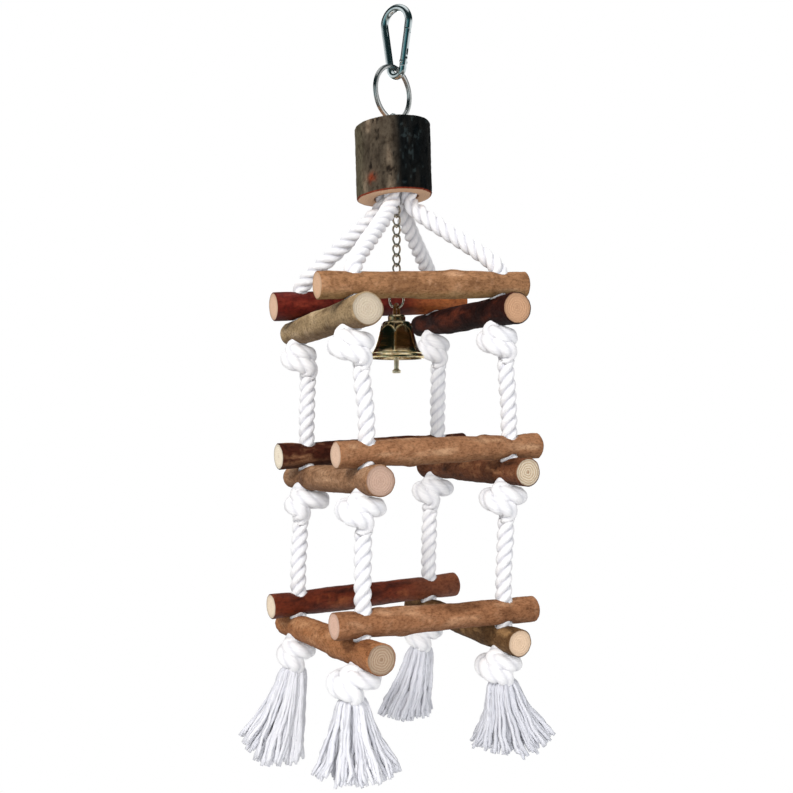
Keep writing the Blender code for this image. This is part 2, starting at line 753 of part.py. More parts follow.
def make_bell(brass):
    """A flared bell of even wall with a cap and a wire staple on top for the ring."""
    outer = [
        (1.0, 0.0),
        (3.9, 0.3),
        (4.7, 1.4),
        (4.8, 3.6),
        (6.9, 4.0),
        (7.7, 5.2),
        (9.4, 9.8),
        (10.5, 13.8),
        (11.8, 17.6),
        (13.2, 20.4),
        (14.8, 22.0),
        (14.8, 23.4),
    ]
    inner = [
        (13.8, 23.4),
        (12.2, 20.6),
        (10.8, 17.9),
        (9.5, 14.0),
        (8.5, 10.4),
        (6.9, 5.6),
        (1.0, 5.2),
    ]
    profile = [(r * MM, BELL_TOP - down * MM) for r, down in outer + inner]
    bell = mesh_object("bell", turned(profile, 24), brass, sharp=30)
    staple_radius = 3.2 * MM
    wire = 0.9 * MM
    inside = bell_ring_centre() - BELL_RING_RADIUS + BELL_RING_WIRE / 2
    top = inside + 0.25 * MM + wire
    points = [Vector((staple_radius, 0, BELL_TOP - 0.8 * MM)), Vector((staple_radius, 0, top - staple_radius))]
    for i in range(1, 8):
        angle = pi * i / 8
        points.append(Vector((staple_radius * cos(angle), 0, top - staple_radius + staple_radius * sin(angle))))
    points += [Vector((-staple_radius, 0, top - staple_radius)), Vector((-staple_radius, 0, BELL_TOP - 0.8 * MM))]
    staple = cutter("bell_staple", swept(points, [wire] * len(points), 8, start_normal=Vector((0, 1, 0))))
    staple.matrix_world = Matrix.Rotation(radians(45), 4, "Z")
    unite(bell, staple)
    return bell


def clapper_pivot():
    return Vector((0, 0, BELL_TOP - 6.5 * MM))


def make_clapper(brass):
    """A rod with a round head under the bell's crown and a small striking disc below the rim."""
    pivot = clapper_pivot()
    length = pivot.z - CLAPPER_TIP
    head = 1.6 * MM
    disc = 2.3 * MM
    profile = [
        (head * 0.4, head * 0.9),
        (head, 0.0),
        (CLAPPER_ROD, -head),
        (CLAPPER_ROD * 0.9, -length + 2.4 * MM),
        (disc * 0.55, -length + 1.9 * MM),
        (disc, -length + 1.2 * MM),
        (disc, -length + 0.4 * MM),
        (disc * 0.8, -length),
    ]
    clapper = mesh_object("clapper", spindle(profile, 14), brass)
    clapper.location = pivot
    return clapper


def main():
    clear_scene()
    zinc = material("zinc_plated_steel", (0.62, 0.66, 0.67), 0.25, 1.0)
    nickel = material("nickel_steel", (0.66, 0.63, 0.58), 0.3, 1.0)
    brass = material("brass", (0.66, 0.48, 0.2), 0.3, 1.0)
    cotton = material("white_cotton", (0.86, 0.86, 0.88), 0.9)
    block_bark = material("block_bark", (0.13, 0.11, 0.09), 0.9)
    tan = material("tan_bark", (0.34, 0.2, 0.11), 0.8)
    red = material("red_bark", (0.16, 0.05, 0.03), 0.75)
    dark = material("dark_bark", (0.1, 0.06, 0.04), 0.8)
    olive = material("olive_bark", (0.3, 0.22, 0.12), 0.8)
    barks = {
        1: dict(front=tan, back=red, left=olive, right=dark),
        2: dict(front=tan, back=dark, left=olive, right=dark),
        3: dict(front=tan, back=red, left=red, right=dark),
    }
    make_hook(zinc)
    make_gate(zinc)
    make_rivet(zinc)
    make_gate_spring(nickel)
    make_split_ring(nickel)
    top = Vector((*ring_centre(), TOP_EYE_Z))
    shank = BLOCK_TOP - TOP_EYE_DEPTH
    make_eye("top_screw_eye", zinc, TOP_EYE_RADIUS, TOP_EYE_WIRE, top, shank, RING_TURN + pi / 2)
    bottom = Vector((0, 0, BOTTOM_EYE_Z))
    shank = BORE_TOP + BOTTOM_EYE_DEPTH
    make_eye("bottom_screw_eye", zinc, BOTTOM_EYE_RADIUS, BOTTOM_EYE_WIRE, bottom, shank, radians(45))
    make_block(block_bark)
    for tier in TIERS:
        make_tier(tier, barks[tier])
        for name in CORNERS:
            make_rope(tier, name, cotton)
            make_knot(tier, name, cotton)
    for name in CORNERS:
        make_tassel(name, cotton)
    for number in range(1, LINKS + 1):
        make_link(number, nickel)
    make_bell_ring(zinc)
    make_bell(brass)
    make_clapper(brass)


main()
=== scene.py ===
"""Looks of the hanging bark-stick toy for a pet bird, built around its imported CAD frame.

All lengths are in metres, in the CAD's frame: +Z is up, +X runs along the front sticks from left to
right, +Y from the front sticks to the back ones, and the origin is where the toy hangs. Tables hold
millimetres and degrees.
"""

from math import atan2, cos, pi, radians, sin

import bmesh
import bpy
import numpy as np
from mathutils import Matrix, Vector


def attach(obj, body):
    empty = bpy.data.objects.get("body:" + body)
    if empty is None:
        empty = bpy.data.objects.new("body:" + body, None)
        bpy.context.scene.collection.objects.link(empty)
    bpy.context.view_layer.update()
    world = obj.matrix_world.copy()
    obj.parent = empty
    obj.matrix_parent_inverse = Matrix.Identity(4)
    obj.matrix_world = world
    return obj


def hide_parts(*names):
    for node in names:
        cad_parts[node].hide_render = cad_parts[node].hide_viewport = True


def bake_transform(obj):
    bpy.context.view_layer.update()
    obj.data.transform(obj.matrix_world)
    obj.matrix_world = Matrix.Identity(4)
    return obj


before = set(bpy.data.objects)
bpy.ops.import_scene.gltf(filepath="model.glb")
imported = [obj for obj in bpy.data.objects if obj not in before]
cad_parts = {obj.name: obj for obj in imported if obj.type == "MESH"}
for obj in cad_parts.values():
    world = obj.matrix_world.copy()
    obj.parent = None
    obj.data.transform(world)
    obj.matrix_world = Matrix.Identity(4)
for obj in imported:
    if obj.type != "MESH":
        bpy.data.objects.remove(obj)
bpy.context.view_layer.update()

MM = 0.001
UP = np.array((0.0, 0.0, 1.0))

# ---- the ropes' and sticks' numbers, as in the CAD

HOLE_X = 40.4 * MM
HOLE_Y = 38.9 * MM
# Each tier's height, its slopes to the right and to the back, the warp of its corners, its turn and its shift.
TIERS = {
    1: dict(level=-157.7, right=3.7, back=-1.5, warp=0.6, turn=-2.3, shift=(0.3, 0.7)),
    2: dict(level=-239.5, right=2.6, back=-0.9, warp=0.4, turn=0.2, shift=(4.8, -0.5)),
    3: dict(level=-321.4, right=1.3, back=1.4, warp=0.8, turn=2.1, shift=(0.5, -1.3)),
}
# The two corners that each stick joins: its near and its far end.
STICK_ENDS = {"front": ("fl", "fr"), "back": ("bl", "br"), "left": ("fl", "bl"), "right": ("fr", "br")}
CORNERS = {"fl": (-1, -1), "fr": (1, -1), "bl": (-1, 1), "br": (1, 1)}


def by_tier(names, *rows):
    """A table of rows, given for each tier in turn in the order of these names."""
    return dict(zip([(tier, name) for tier in TIERS for name in names], rows))


# Each stick's diameter at its near and far end, its length, and how far it is shifted along itself.
STICKS = by_tier(
    STICK_ENDS,
    (13.3, 14.0, 114.2, -1.7), (15.4, 13.6, 115.0, 1.7), (16.0, 13.6, 111.5, -2.5), (15.6, 12.6, 115.5, -0.5),
    (13.4, 12.8, 114.3, 0.4), (14.0, 13.0, 114.1, 0.3), (15.2, 12.4, 113.0, 1.8), (14.5, 12.8, 110.0, -2.2),
    (13.8, 13.0, 114.2, 1.4), (13.6, 12.8, 113.8, 0.7), (15.6, 12.8, 114.0, -1.8), (14.4, 12.6, 110.0, 1.3),
)
WAIST = 0.5 * MM
WAIST_LENGTH = 9.0 * MM
GAP = 0.3 * MM
KNOT_SIDE = np.array((0.9, -0.436, 0.0))
KNOT_HEIGHT = 16.0 * MM
KNOT_GAP = 0.6 * MM
# Each knot's width, its lean and how far aside the rope leaves it.
KNOTS = by_tier(
    CORNERS,
    (23.6, -0.5, 4.3), (21.4, -0.5, 3.5), (20.0, -0.4, 4.3), (19.0, 0.0, 2.6),
    (24.8, -2.0, -1.6), (24.4, -2.2, -1.6), (25.4, 0.6, -3.4), (23.8, -2.2, -4.6),
    (26.2, -3.2, -5.0), (24.0, -1.9, -0.6), (21.4, -0.9, -2.0), (22.0, -2.6, -4.6),
)
ROPE_ROOT = 5.0 * MM
ROPE_START = -84.0 * MM
ROPE_LEAVES = -101.2 * MM
ROPE_BEND = 8.0 * MM
ROPE_UPRIGHT = 8.5 * MM
ROPE_RADIUS = 4.5 * MM
ROPE_LAY = 18.5 * MM
ROUTE_STEP = 0.9 * MM
KNOT_STEP = 0.8 * MM
# Each tassel's lean in X and Y, its radius at the hem, and the hem's level.
TASSELS = {
    "fl": (1.5, -0.7, 22.0, -389.0),
    "fr": (4.1, -2.0, 21.0, -386.5),
    "bl": (-10.4, 5.0, 17.0, -401.0),
    "br": (-8.2, 4.0, 15.2, -386.5),
}
# How much higher each tassel's hem is at its left and right edge than at its lowest.
TASSEL_HEMS = {"fl": (2.5, 3.0), "fr": (3.0, 8.0), "bl": (15.0, 1.0), "br": (3.0, 2.0)}
# Painted shade on each tassel: how light its yarns are; the two at the right are painted darker, as shade.
TASSEL_SHADING = {"fl": 0.85, "fr": 0.6, "bl": 0.88, "br": 0.6}


def corner(tier, name):
    """Where the rope of this corner crosses the middle plane of a tier."""
    place = TIERS[tier]
    sign_x, sign_y = CORNERS[name]
    x, y = sign_x * HOLE_X, sign_y * HOLE_Y
    rise = x * sin(radians(place["right"])) + y * sin(radians(place["back"]))
    rise += place["warp"] * MM * sign_x * sign_y
    c, s = cos(radians(place["turn"])), sin(radians(place["turn"]))
    shift_x, shift_y = place["shift"]
    return np.array((x * c - y * s + shift_x * MM, x * s + y * c + shift_y * MM, place["level"] * MM + rise))


def stick_radius(tier, side, along, waist=WAIST):
    near, far, length, shift = STICKS[tier, side]
    radius = (near + (far - near) * (along / (length * MM) + 0.5)) * MM / 2
    hole = HOLE_X if side in ("front", "back") else HOLE_Y
    for at in (-hole - shift * MM, hole - shift * MM):
        dip = 1 - np.minimum(1.0, np.abs(along - at) / WAIST_LENGTH)
        radius = radius - waist * dip * dip * (3 - 2 * dip)
    return radius + 0.25 * MM * np.sin(along / (11 * MM) + tier * 1.7 + len(side))


def crossing_radii(tier, name):
    """The radii of a corner's upper and lower stick at their holes."""
    x, y = CORNERS[name]
    upper, lower = "front" if y < 0 else "back", "left" if x < 0 else "right"
    return (
        stick_radius(tier, upper, x * HOLE_X - STICKS[tier, upper][3] * MM),
        stick_radius(tier, lower, y * HOLE_Y - STICKS[tier, lower][3] * MM),
    )


def pair_spacing(tier, name):
    """How far a corner's two sticks lie above and below the tier's middle plane."""
    upper, lower = crossing_radii(tier, name)
    return (GAP + upper + lower) / 2


def stick_line(tier, side):
    """A stick's middle and its direction."""
    sign = 1 if side in ("front", "back") else -1
    near, far = (corner(tier, name) + sign * pair_spacing(tier, name) * UP for name in STICK_ENDS[side])
    along = (far - near) / np.linalg.norm(far - near)
    return (near + far) / 2 + along * STICKS[tier, side][3] * MM, along


def knot_top(tier, name):
    return corner(tier, name)[2] - pair_spacing(tier, name) - crossing_radii(tier, name)[1] - KNOT_GAP


def stick_top(tier, name):
    return corner(tier, name)[2] + pair_spacing(tier, name) + crossing_radii(tier, name)[0]


def knot_exit(tier, name):
    at = corner(tier, name) + KNOT_SIDE * KNOTS[tier, name][2] * MM
    at[2] = knot_top(tier, name) - KNOT_HEIGHT
    return at


def bezier(a, b, c, d, count):
    s = np.linspace(0, 1, count)[:, None]
    return (1 - s) ** 3 * a + 3 * (1 - s) ** 2 * s * b + 3 * (1 - s) * s**2 * c + s**3 * d


def gone_along(points):
    """How far along a route each of its points lies."""
    return np.r_[0, np.cumsum(np.linalg.norm(np.diff(points, axis=0), axis=1))]


def resampled(points, step):
    """The same route with even steps."""
    gone = gone_along(points)
    at = np.linspace(0, gone[-1], max(2, int(round(gone[-1] / step)) + 1))
    return np.stack([np.interp(at, gone, points[:, k]) for k in range(3)], axis=1)


def softened(points, rounds):
    """Rounds off a route's corners; its two ends stay where they are."""
    points = points.copy()
    for _ in range(rounds):
        points[1:-1] = (points[:-2] + 2 * points[1:-1] + points[2:]) / 4
    return points


def rope_route(tier, name):
    """The rope's middle from the block, or from the knot above, to the knot under this tier."""
    at = corner(tier, name)
    top = stick_top(tier, name)
    low = np.array((at[0], at[1], knot_top(tier, name) + GAP))
    enter = np.array((at[0], at[1], top + ROPE_UPRIGHT))
    if tier == 1:
        x, y = CORNERS[name]
        start = np.array((x * ROPE_ROOT, y * ROPE_ROOT, ROPE_START))
        leave = np.array((start[0], start[1], ROPE_LEAVES))
        enter[2] = top + 0.5 * MM
        handle = ROPE_BEND
    else:
        start = knot_exit(tier - 1, name)
        leave = start - MM * UP
        handle = (leave[2] - enter[2]) / 3
    down = -handle * UP
    middle = bezier(leave, leave + down, enter - down, enter, 60)
    return resampled(np.vstack([start, middle, low]), ROUTE_STEP)


# ---- nodes


class Nodes:
    """A node tree, with short calls for the nodes used here."""

    def __init__(self, tree):
        self.nodes, self.links = tree.nodes, tree.links

    def feed(self, socket, value):
        if isinstance(value, bpy.types.NodeSocket):
            self.links.new(value, socket)
        elif isinstance(value, tuple) and len(value) == 3 and socket.type == "RGBA":
            socket.default_value = (*value, 1.0)
        else:
            socket.default_value = value

    def add(self, kind, output, inputs, **settings):
        """Adds a node, gives its inputs values or links, and returns one of its outputs."""
        node = self.nodes.new("ShaderNode" + kind)
        for key, value in settings.items():
            setattr(node, key, value)
        for key, value in inputs.items():
            self.feed(node.inputs[key], value)
        return node.outputs[output]

    def attribute(self, name, output="Fac"):
        return self.add("Attribute", output, {}, attribute_name=name)

    def noise(self, vector, scale, detail=4.0, rough=0.55):
        inputs = {"Vector": vector, "Scale": scale, "Detail": detail, "Roughness": rough}
        return self.add("TexNoise", "Fac", inputs)

    def cracks(self, vector, scale):
        """The distance to the nearest edge between cells."""
        inputs = {"Vector": vector, "Scale": scale}
        return self.add("TexVoronoi", "Distance", inputs, feature="DISTANCE_TO_EDGE")

    def scaled(self, vector, scale):
        return self.add("Mapping", "Vector", {"Vector": vector, "Scale": scale})

    def vector_math(self, operation, a, b=(0, 0, 0)):
        return self.add("VectorMath", "Value", {0: a, 1: b}, operation=operation)

    def math(self, operation, a, b=0.0, c=0.0):
        return self.add("Math", 0, {0: a, 1: b, 2: c}, operation=operation)

    def times(self, a, b):
        return self.math("MULTIPLY", a, b)

    def plus(self, a, b):
        return self.math("ADD", a, b)

    def mix(self, share, a, b, blend="MIX"):
        return self.add("Mix", 2, {0: share, 6: a, 7: b}, data_type="RGBA", blend_type=blend)

    def ramp(self, value, stops):
        node = self.nodes.new("ShaderNodeValToRGB")
        elements = node.color_ramp.elements
        while len(elements) < len(stops):
            elements.new(0.5)
        for stop, (at, colour) in zip(elements, stops):
            stop.position = at
            stop.color = (*colour, 1.0) if isinstance(colour, tuple) else (colour, colour, colour, 1.0)
        self.feed(node.inputs["Fac"], value)
        return node.outputs["Color"]


# ---- camera, floor and light

VIEW_TURN = radians(26)
VIEW_PITCH = radians(1.32)
VIEW_DISTANCE = 633.7 * MM
VIEW_HEIGHT = -219.5 * MM
VIEW_LENS = 54.42
FLOOR_LEVEL = -620 * MM
FLOOR_RADIUS = 450 * MM
MIDDLE = Vector((0, 0, -200 * MM))


def add_to_scene(name, data):
    made = bpy.data.objects.new(name, data)
    bpy.context.scene.collection.objects.link(made)
    return made


def set_camera():
    data = bpy.data.cameras.new("camera")
    data.lens = VIEW_LENS
    data.sensor_width = 36
    data.clip_start = 0.01
    camera = add_to_scene("camera", data)
    camera.location = (-sin(VIEW_TURN) * VIEW_DISTANCE, -cos(VIEW_TURN) * VIEW_DISTANCE, VIEW_HEIGHT)
    camera.rotation_euler = (pi / 2 + VIEW_PITCH, 0, -VIEW_TURN)
    bpy.context.scene.camera = camera


def area_light(name, place, size, power, colour=(1, 1, 1), mirrored=False):
    """A round light that faces the toy's middle."""
    data = bpy.data.lights.new(name, "AREA")
    data.shape = "DISK"
    data.size = size
    data.energy = power
    data.color = colour
    light = add_to_scene(name, data)
    light.location = place
    aim = MIDDLE - Vector(place)
    light.rotation_euler = aim.to_track_quat("-Z", "Y").to_euler()
    light.visible_glossy = mirrored


def set_world():
    """A white room; in what shiny pieces mirror, the camera's side is dark teal and the ceiling dark."""
    world = bpy.data.worlds.new("studio")
    bpy.context.scene.world = world
    world.use_nodes = True
    world.node_tree.nodes.clear()
    tree = Nodes(world.node_tree)
    way = tree.add("TexCoord", "Generated", {})

    def part(direction):
        """How far the ray goes this way: 0 against it, 1 along it."""
        return tree.math("MULTIPLY_ADD", tree.vector_math("DOT_PRODUCT", way, direction), 0.5, 0.5)

    height = part((0, 0, 1))
    aside = part((cos(VIEW_TURN), -sin(VIEW_TURN), 0))
    toward_camera = part((-sin(VIEW_TURN), -cos(VIEW_TURN), 0))
    teal = [
        (0.0, 0.95),
        (0.08, (0.5, 0.62, 0.64)),
        (0.2, (0.16, 0.36, 0.38)),
        (0.4, (0.04, 0.18, 0.2)),
        (0.55, (0.004, 0.035, 0.045)),
        (0.8, (0.003, 0.02, 0.025)),
        (0.9, (0.3, 0.36, 0.36)),
        (1.0, 0.95),
    ]
    walls = tree.ramp(aside, [(0.0, 1.0), (1.0, 0.9)])
    around = tree.mix(tree.ramp(toward_camera, [(0.45, 0.0), (0.62, 1.0)]), walls, tree.ramp(aside, teal))
    ceiling = tree.ramp(height, [(0.7, (0.006, 0.018, 0.02)), (0.9, (0.01, 0.03, 0.03)), (0.96, 1.0)])
    over = tree.mix(tree.ramp(height, [(0.61, 0.0), (0.68, 1.0)]), around, ceiling)
    below = tree.ramp(height, [(0.0, 0.05), (0.22, (0.08, 0.08, 0.07)), (0.36, (0.62, 0.6, 0.56))])
    mirrored = tree.mix(tree.ramp(height, [(0.3, 1.0), (0.42, 0.0)]), over, below)
    soft = tree.ramp(height, [(0.0, 0.5), (0.45, 0.42), (0.6, 0.4), (1.0, 0.6)])
    seen = tree.nodes.new("ShaderNodeLightPath").outputs
    colour = tree.mix(seen["Is Glossy Ray"], soft, mirrored)
    colour = tree.mix(seen["Is Camera Ray"], colour, (1.0, 1.0, 1.0))
    output = tree.nodes.new("ShaderNodeOutputWorld")
    tree.feed(output.inputs[0], tree.add("Background", 0, {"Color": colour}))


def set_stage():
    mesh = bpy.data.meshes.new("floor")
    shape = bmesh.new()
    bmesh.ops.create_circle(shape, cap_ends=True, segments=96, radius=FLOOR_RADIUS)
    shape.to_mesh(mesh)
    shape.free()
    floor = add_to_scene("floor", mesh)
    floor.location = (0, 0, FLOOR_LEVEL)
    paint = bpy.data.materials.new("pale_floor")
    paint.use_nodes = True
    shader = paint.node_tree.nodes["Principled BSDF"].inputs
    shader["Base Color"].default_value = (0.85, 0.85, 0.84, 1)
    shader["Roughness"].default_value = 0.8
    mesh.materials.append(paint)


set_camera()
set_world()
set_stage()
bpy.context.scene.view_settings.view_transform = "Standard"
area_light("key", (-0.85, -0.5, 0.35), 0.4, 10.0, (1.0, 0.98, 0.95))
area_light("front", (-0.35, -1.2, -0.15), 0.7, 8.5)
area_light("fill", (0.8, -0.5, -0.35), 0.7, 1.5, (0.95, 0.98, 1.0))
area_light("top", (0.1, 0.25, 0.7), 0.6, 4.5)
area_light("rear", (0.2, 1.2, -0.2), 0.8, 2.5, mirrored=True)


# ---- meshes from points


def full_turn(count):
    """Evenly spaced angles round a circle."""
    return np.arange(count) * 2 * pi / count


def put(name, points, faces, materials, smooth=True):
    mesh = bpy.data.meshes.new(name)
    mesh.from_pydata(np.asarray(points).reshape(-1, 3).tolist(), [], faces)
    for material in materials:
        mesh.materials.append(material)
    if smooth:
        mesh.shade_smooth()
    return add_to_scene(name, mesh)


def grid_faces(rows, columns, first=0, wrap_rows=False):
    """Quads between rings of points, each ring closed on itself."""
    faces = []
    for i in range(rows if wrap_rows else rows - 1):
        a, b = first + i * columns, first + (i + 1) % rows * columns
        for j in range(columns):
            k = (j + 1) % columns
            faces.append((a + j, a + k, b + k, b + j))
    return faces


def tube_faces(rows, columns, first=0):
    """The faces of a tube with a cap on each end."""
    last = first + (rows - 1) * columns
    faces = grid_faces(rows, columns, first)
    faces.append(tuple(range(first, first + columns))[::-1])
    faces.append(tuple(range(last, last + columns)))
    return faces


def paint_points(piece, name, values, kind="FLOAT_COLOR"):
    """Stores a colour, vector or number for each vertex, which the piece's material reads."""
    layer = piece.data.attributes.new(name, kind, "POINT")
    values = np.asarray(values, np.float32)
    if kind == "FLOAT_COLOR":
        values = np.hstack([values, np.ones((len(values), 1), np.float32)])
    field = {"FLOAT_COLOR": "color", "FLOAT_VECTOR": "vector", "FLOAT": "value"}[kind]
    layer.data.foreach_set(field, values.ravel())


def turning_frames(points, closed=False, start=(1, 0, 0)):
    """Two cross directions at each point of a route, carried along it without twist."""
    if closed:
        tangents = np.roll(points, -1, axis=0) - np.roll(points, 1, axis=0)
    else:
        tangents = np.gradient(points, axis=0)
    tangents /= np.linalg.norm(tangents, axis=1, keepdims=True)
    normal = np.array(start, float)
    if abs(normal @ tangents[0]) > 0.9:
        normal = np.array((0, 1.0, 0))
    normals = np.zeros_like(points)
    for i, along in enumerate(tangents):
        normal = normal - along * (normal @ along)
        normal /= np.linalg.norm(normal)
        normals[i] = normal
    return normals, np.cross(tangents, normals)


def crossways(frames, angles, wide=1.0, flat=1.0):
    """The directions across a route at these angles round it."""
    normals, others = frames
    ring = np.cos(angles)[..., None] * normals[:, None] * wide
    return ring + np.sin(angles)[..., None] * others[:, None] * flat


def wire(name, points, radius, sides, material, closed=False, start=(1, 0, 0), place=Matrix()):
    """A round wire along a route."""
    points = np.asarray(points, float)
    cloud = points[:, None] + radius * crossways(turning_frames(points, closed, start), full_turn(sides))
    faces = grid_faces(len(points), sides, wrap_rows=True) if closed else tube_faces(len(points), sides)
    piece = put(name, cloud, faces, [material])
    piece.data.transform(place)
    return piece


def revolved(profile, angles):
    """Rings of points round Z, one for each radius and height of a profile."""
    reach, level = profile[:, :1], profile[:, 1:]
    return np.stack([reach * np.cos(angles), reach * np.sin(angles), level + 0 * angles], axis=2)


def face_out(piece, weld=False):
    """Turns all faces outwards, after joining the points that lie in one place if asked."""
    shape = bmesh.new()
    shape.from_mesh(piece.data)
    if weld:
        bmesh.ops.remove_doubles(shape, verts=shape.verts, dist=1e-6)
    bmesh.ops.recalc_face_normals(shape, faces=shape.faces)
    shape.to_mesh(piece.data)
    shape.free()


def turned(name, profile, sides, material, place=Matrix()):
    """A solid of revolution about Z. Its profile starts and ends on the axis."""
    points = revolved(np.array(profile), full_turn(sides))
    piece = put(name, points, grid_faces(len(profile), sides), [material])
    face_out(piece, weld=True)
    piece.data.transform(place)
    return piece


def bake_modifiers(piece):
    bpy.context.view_layer.update()
    graph = bpy.context.evaluated_depsgraph_get()
    made = bpy.data.meshes.new_from_object(piece.evaluated_get(graph), depsgraph=graph)
    piece.modifiers.clear()
    piece.data = made


def cut_out(piece, tools, **settings):
    """Cuts helper shapes out of a piece and removes them."""
    for tool in tools:
        cut = piece.modifiers.new("cut", "BOOLEAN")
        cut.operation = "DIFFERENCE"
        cut.object = tool
        for key, value in settings.items():
            setattr(cut, key, value)
    bake_modifiers(piece)
    for tool in tools:
        bpy.data.objects.remove(tool)


def finish_piece(piece, body, node):
    """Puts a piece on its body, in place of the CAD's node."""
    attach(piece, body)
    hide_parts(node)


# ---- noise and colour


def linear(*colour):
    """sRGB numbers from 0 to 255 as the linear colour that nodes take."""
    return tuple(((c / 255 + 0.055) / 1.055) ** 2.4 if c > 10.3 else c / 255 / 12.92 for c in colour)


def toward(colour, other, share):
    """Each point's colour moved by its share towards another."""
    return colour + (other - colour) * share[:, None]


def lattice(cells, seed):
    """A repeatable number from 0 to 1 for each whole-numbered cell."""
    key = cells[..., 0] * 374761393 + cells[..., 1] * 668265263 + cells[..., 2] * 2147483647 + seed * 974634777
    key = (key ^ (key >> 13)) * 1274126177
    key = key ^ (key >> 16)
    return (key & 0xFFFFFF) / float(0xFFFFFF)


def soft_noise(points, seed=0):
    """Smooth noise from -1 to 1 at each point."""
    base = np.floor(points).astype(np.int64)
    part = points - base
    part = part * part * (3 - 2 * part)
    total = 0.0
    for corner_x in (0, 1):
        for corner_y in (0, 1):
            for corner_z in (0, 1):
                step = np.array((corner_x, corner_y, corner_z))
                weight = np.prod(np.where(step, part, 1 - part), axis=-1)
                total = total + weight * lattice(base + step, seed)
    return total * 2 - 1


def layered_noise(points, size, octaves, seed):
    """Noise from -1 to 1 at each point, with blotches of about this size in mm and finer ones on them."""
    points = points / (np.array(size) * MM)
    total, strength, norm = 0.0, 1.0, 0.0
    for k in range(octaves):
        total = total + strength * soft_noise(points * 2.0**k + 17.3 * k, seed + k)
        norm += strength
        strength *= 0.55
    return total / norm


def smooth_step(low, high, value):
    t = np.clip((value - low) / (high - low), 0, 1)
    return t * t * (3 - 2 * t)


# ---- materials


class Look(Nodes):
    """A material's nodes."""

    def __init__(self, name, **values):
        self.material = bpy.data.materials.new(name)
        self.material.use_nodes = True
        super().__init__(self.material.node_tree)
        self.shader = self.nodes["Principled BSDF"]
        self.place = self.add("TexCoord", "Object", {})
        for key, value in values.items():
            self.shader.inputs[key.replace("_", " ")].default_value = value

    def bump(self, height, distance, strength):
        inputs = {"Distance": distance, "Strength": strength, "Height": height}
        self.links.new(self.add("Bump", "Normal", inputs), self.shader.inputs["Normal"])

    def colour(self, value):
        self.feed(self.shader.inputs["Base Color"], value)

    def roughness(self, value):
        self.feed(self.shader.inputs["Roughness"], value)


def cotton_look():
    """Undyed cotton: fine yarns along the rope, with painted shade, darker and blue-grey, in the grooves
    between the strands.
    """
    look = Look("cotton", Roughness=0.95, Sheen_Weight=0.25, Sheen_Roughness=0.5)
    yarns = look.noise(look.scaled(look.attribute("yarn", "Vector"), (1.0, 1.0, 0.08)), 900.0, 3.0, 0.6)
    fuzz = look.noise(look.place, 1500.0, 2.0)
    clean = look.ramp(yarns, [(0.3, linear(205, 207, 214)), (0.58, linear(232, 233, 237))])
    cloudy = look.mix(look.noise(look.place, 60.0, 3.0), clean, linear(226, 224, 224))
    # Painted shade: the grooves between the strands turn blue-grey.
    look.colour(look.mix(look.attribute("groove_shade"), cloudy, linear(182, 183, 192)))
    look.bump(look.plus(look.times(yarns, 0.8), look.times(fuzz, 0.4)), 0.5 * MM, 0.6)
    return look.material


def yarn_look():
    """Tassel yarns: a little greyer where they lie deep in the tassel, which is painted shade, with a fine ply.
    """
    look = Look("cotton_yarn", Roughness=0.95, Sheen_Weight=0.2, Sheen_Roughness=0.5)
    ply = look.noise(look.place, 1400.0, 3.0)
    tones_and_shades = [(0.0, linear(146, 149, 158)), (0.5, linear(198, 199, 206)), (1.0, linear(226, 226, 230))]
    # The ramp runs from blue-grey painted shade to the yarns' own pale colour.
    base = look.ramp(look.attribute("tone"), tones_and_shades)
    look.colour(look.mix(look.times(ply, 0.35), base, linear(200, 202, 212)))
    look.bump(ply, 0.4 * MM, 0.7)
    return look.material


def bark_look(name, cracks, fine, rough, shine):
    """Bark: its colour is painted on the vertices, and the nodes add pores, flecks and cracks."""
    look = Look(name, Specular_IOR_Level=shine)
    grain = look.attribute("grain", "Vector")
    flecks = look.noise(look.scaled(grain, (0.55, 1.0, 1.0)), 1000.0 * fine, 6.0, 0.7)
    patches = look.noise(look.place, 260.0, 6.0, 0.7)
    seams = look.cracks(look.scaled(grain, (0.4, 1.0, 1.0)), 260.0 * fine)
    cracked = look.ramp(seams, [(0.0, cracks), (0.07, 0.0)])
    colour = look.attribute("tint", "Color")
    for share, tone in (
        (look.ramp(flecks, [(0.32, 1.0), (0.52, 0.0)]), (0.5, 0.46, 0.44)),
        (look.ramp(flecks, [(0.55, 0.0), (0.72, 0.8)]), (1.3, 1.28, 1.25)),
        (look.ramp(patches, [(0.36, 0.6), (0.5, 0.0)]), (0.6, 0.55, 0.52)),
        (cracked, (0.35, 0.3, 0.28)),
    ):
        colour = look.mix(share, colour, tone, "MULTIPLY")
    look.colour(colour)
    look.roughness(look.ramp(flecks, [(0.3, rough + 0.08), (0.7, rough - 0.08)]))
    height = look.plus(look.times(flecks, 0.7), look.times(patches, 0.5))
    look.bump(look.math("SUBTRACT", height, look.times(cracked, 0.5)), 0.5 * MM, 0.7)
    return look.material


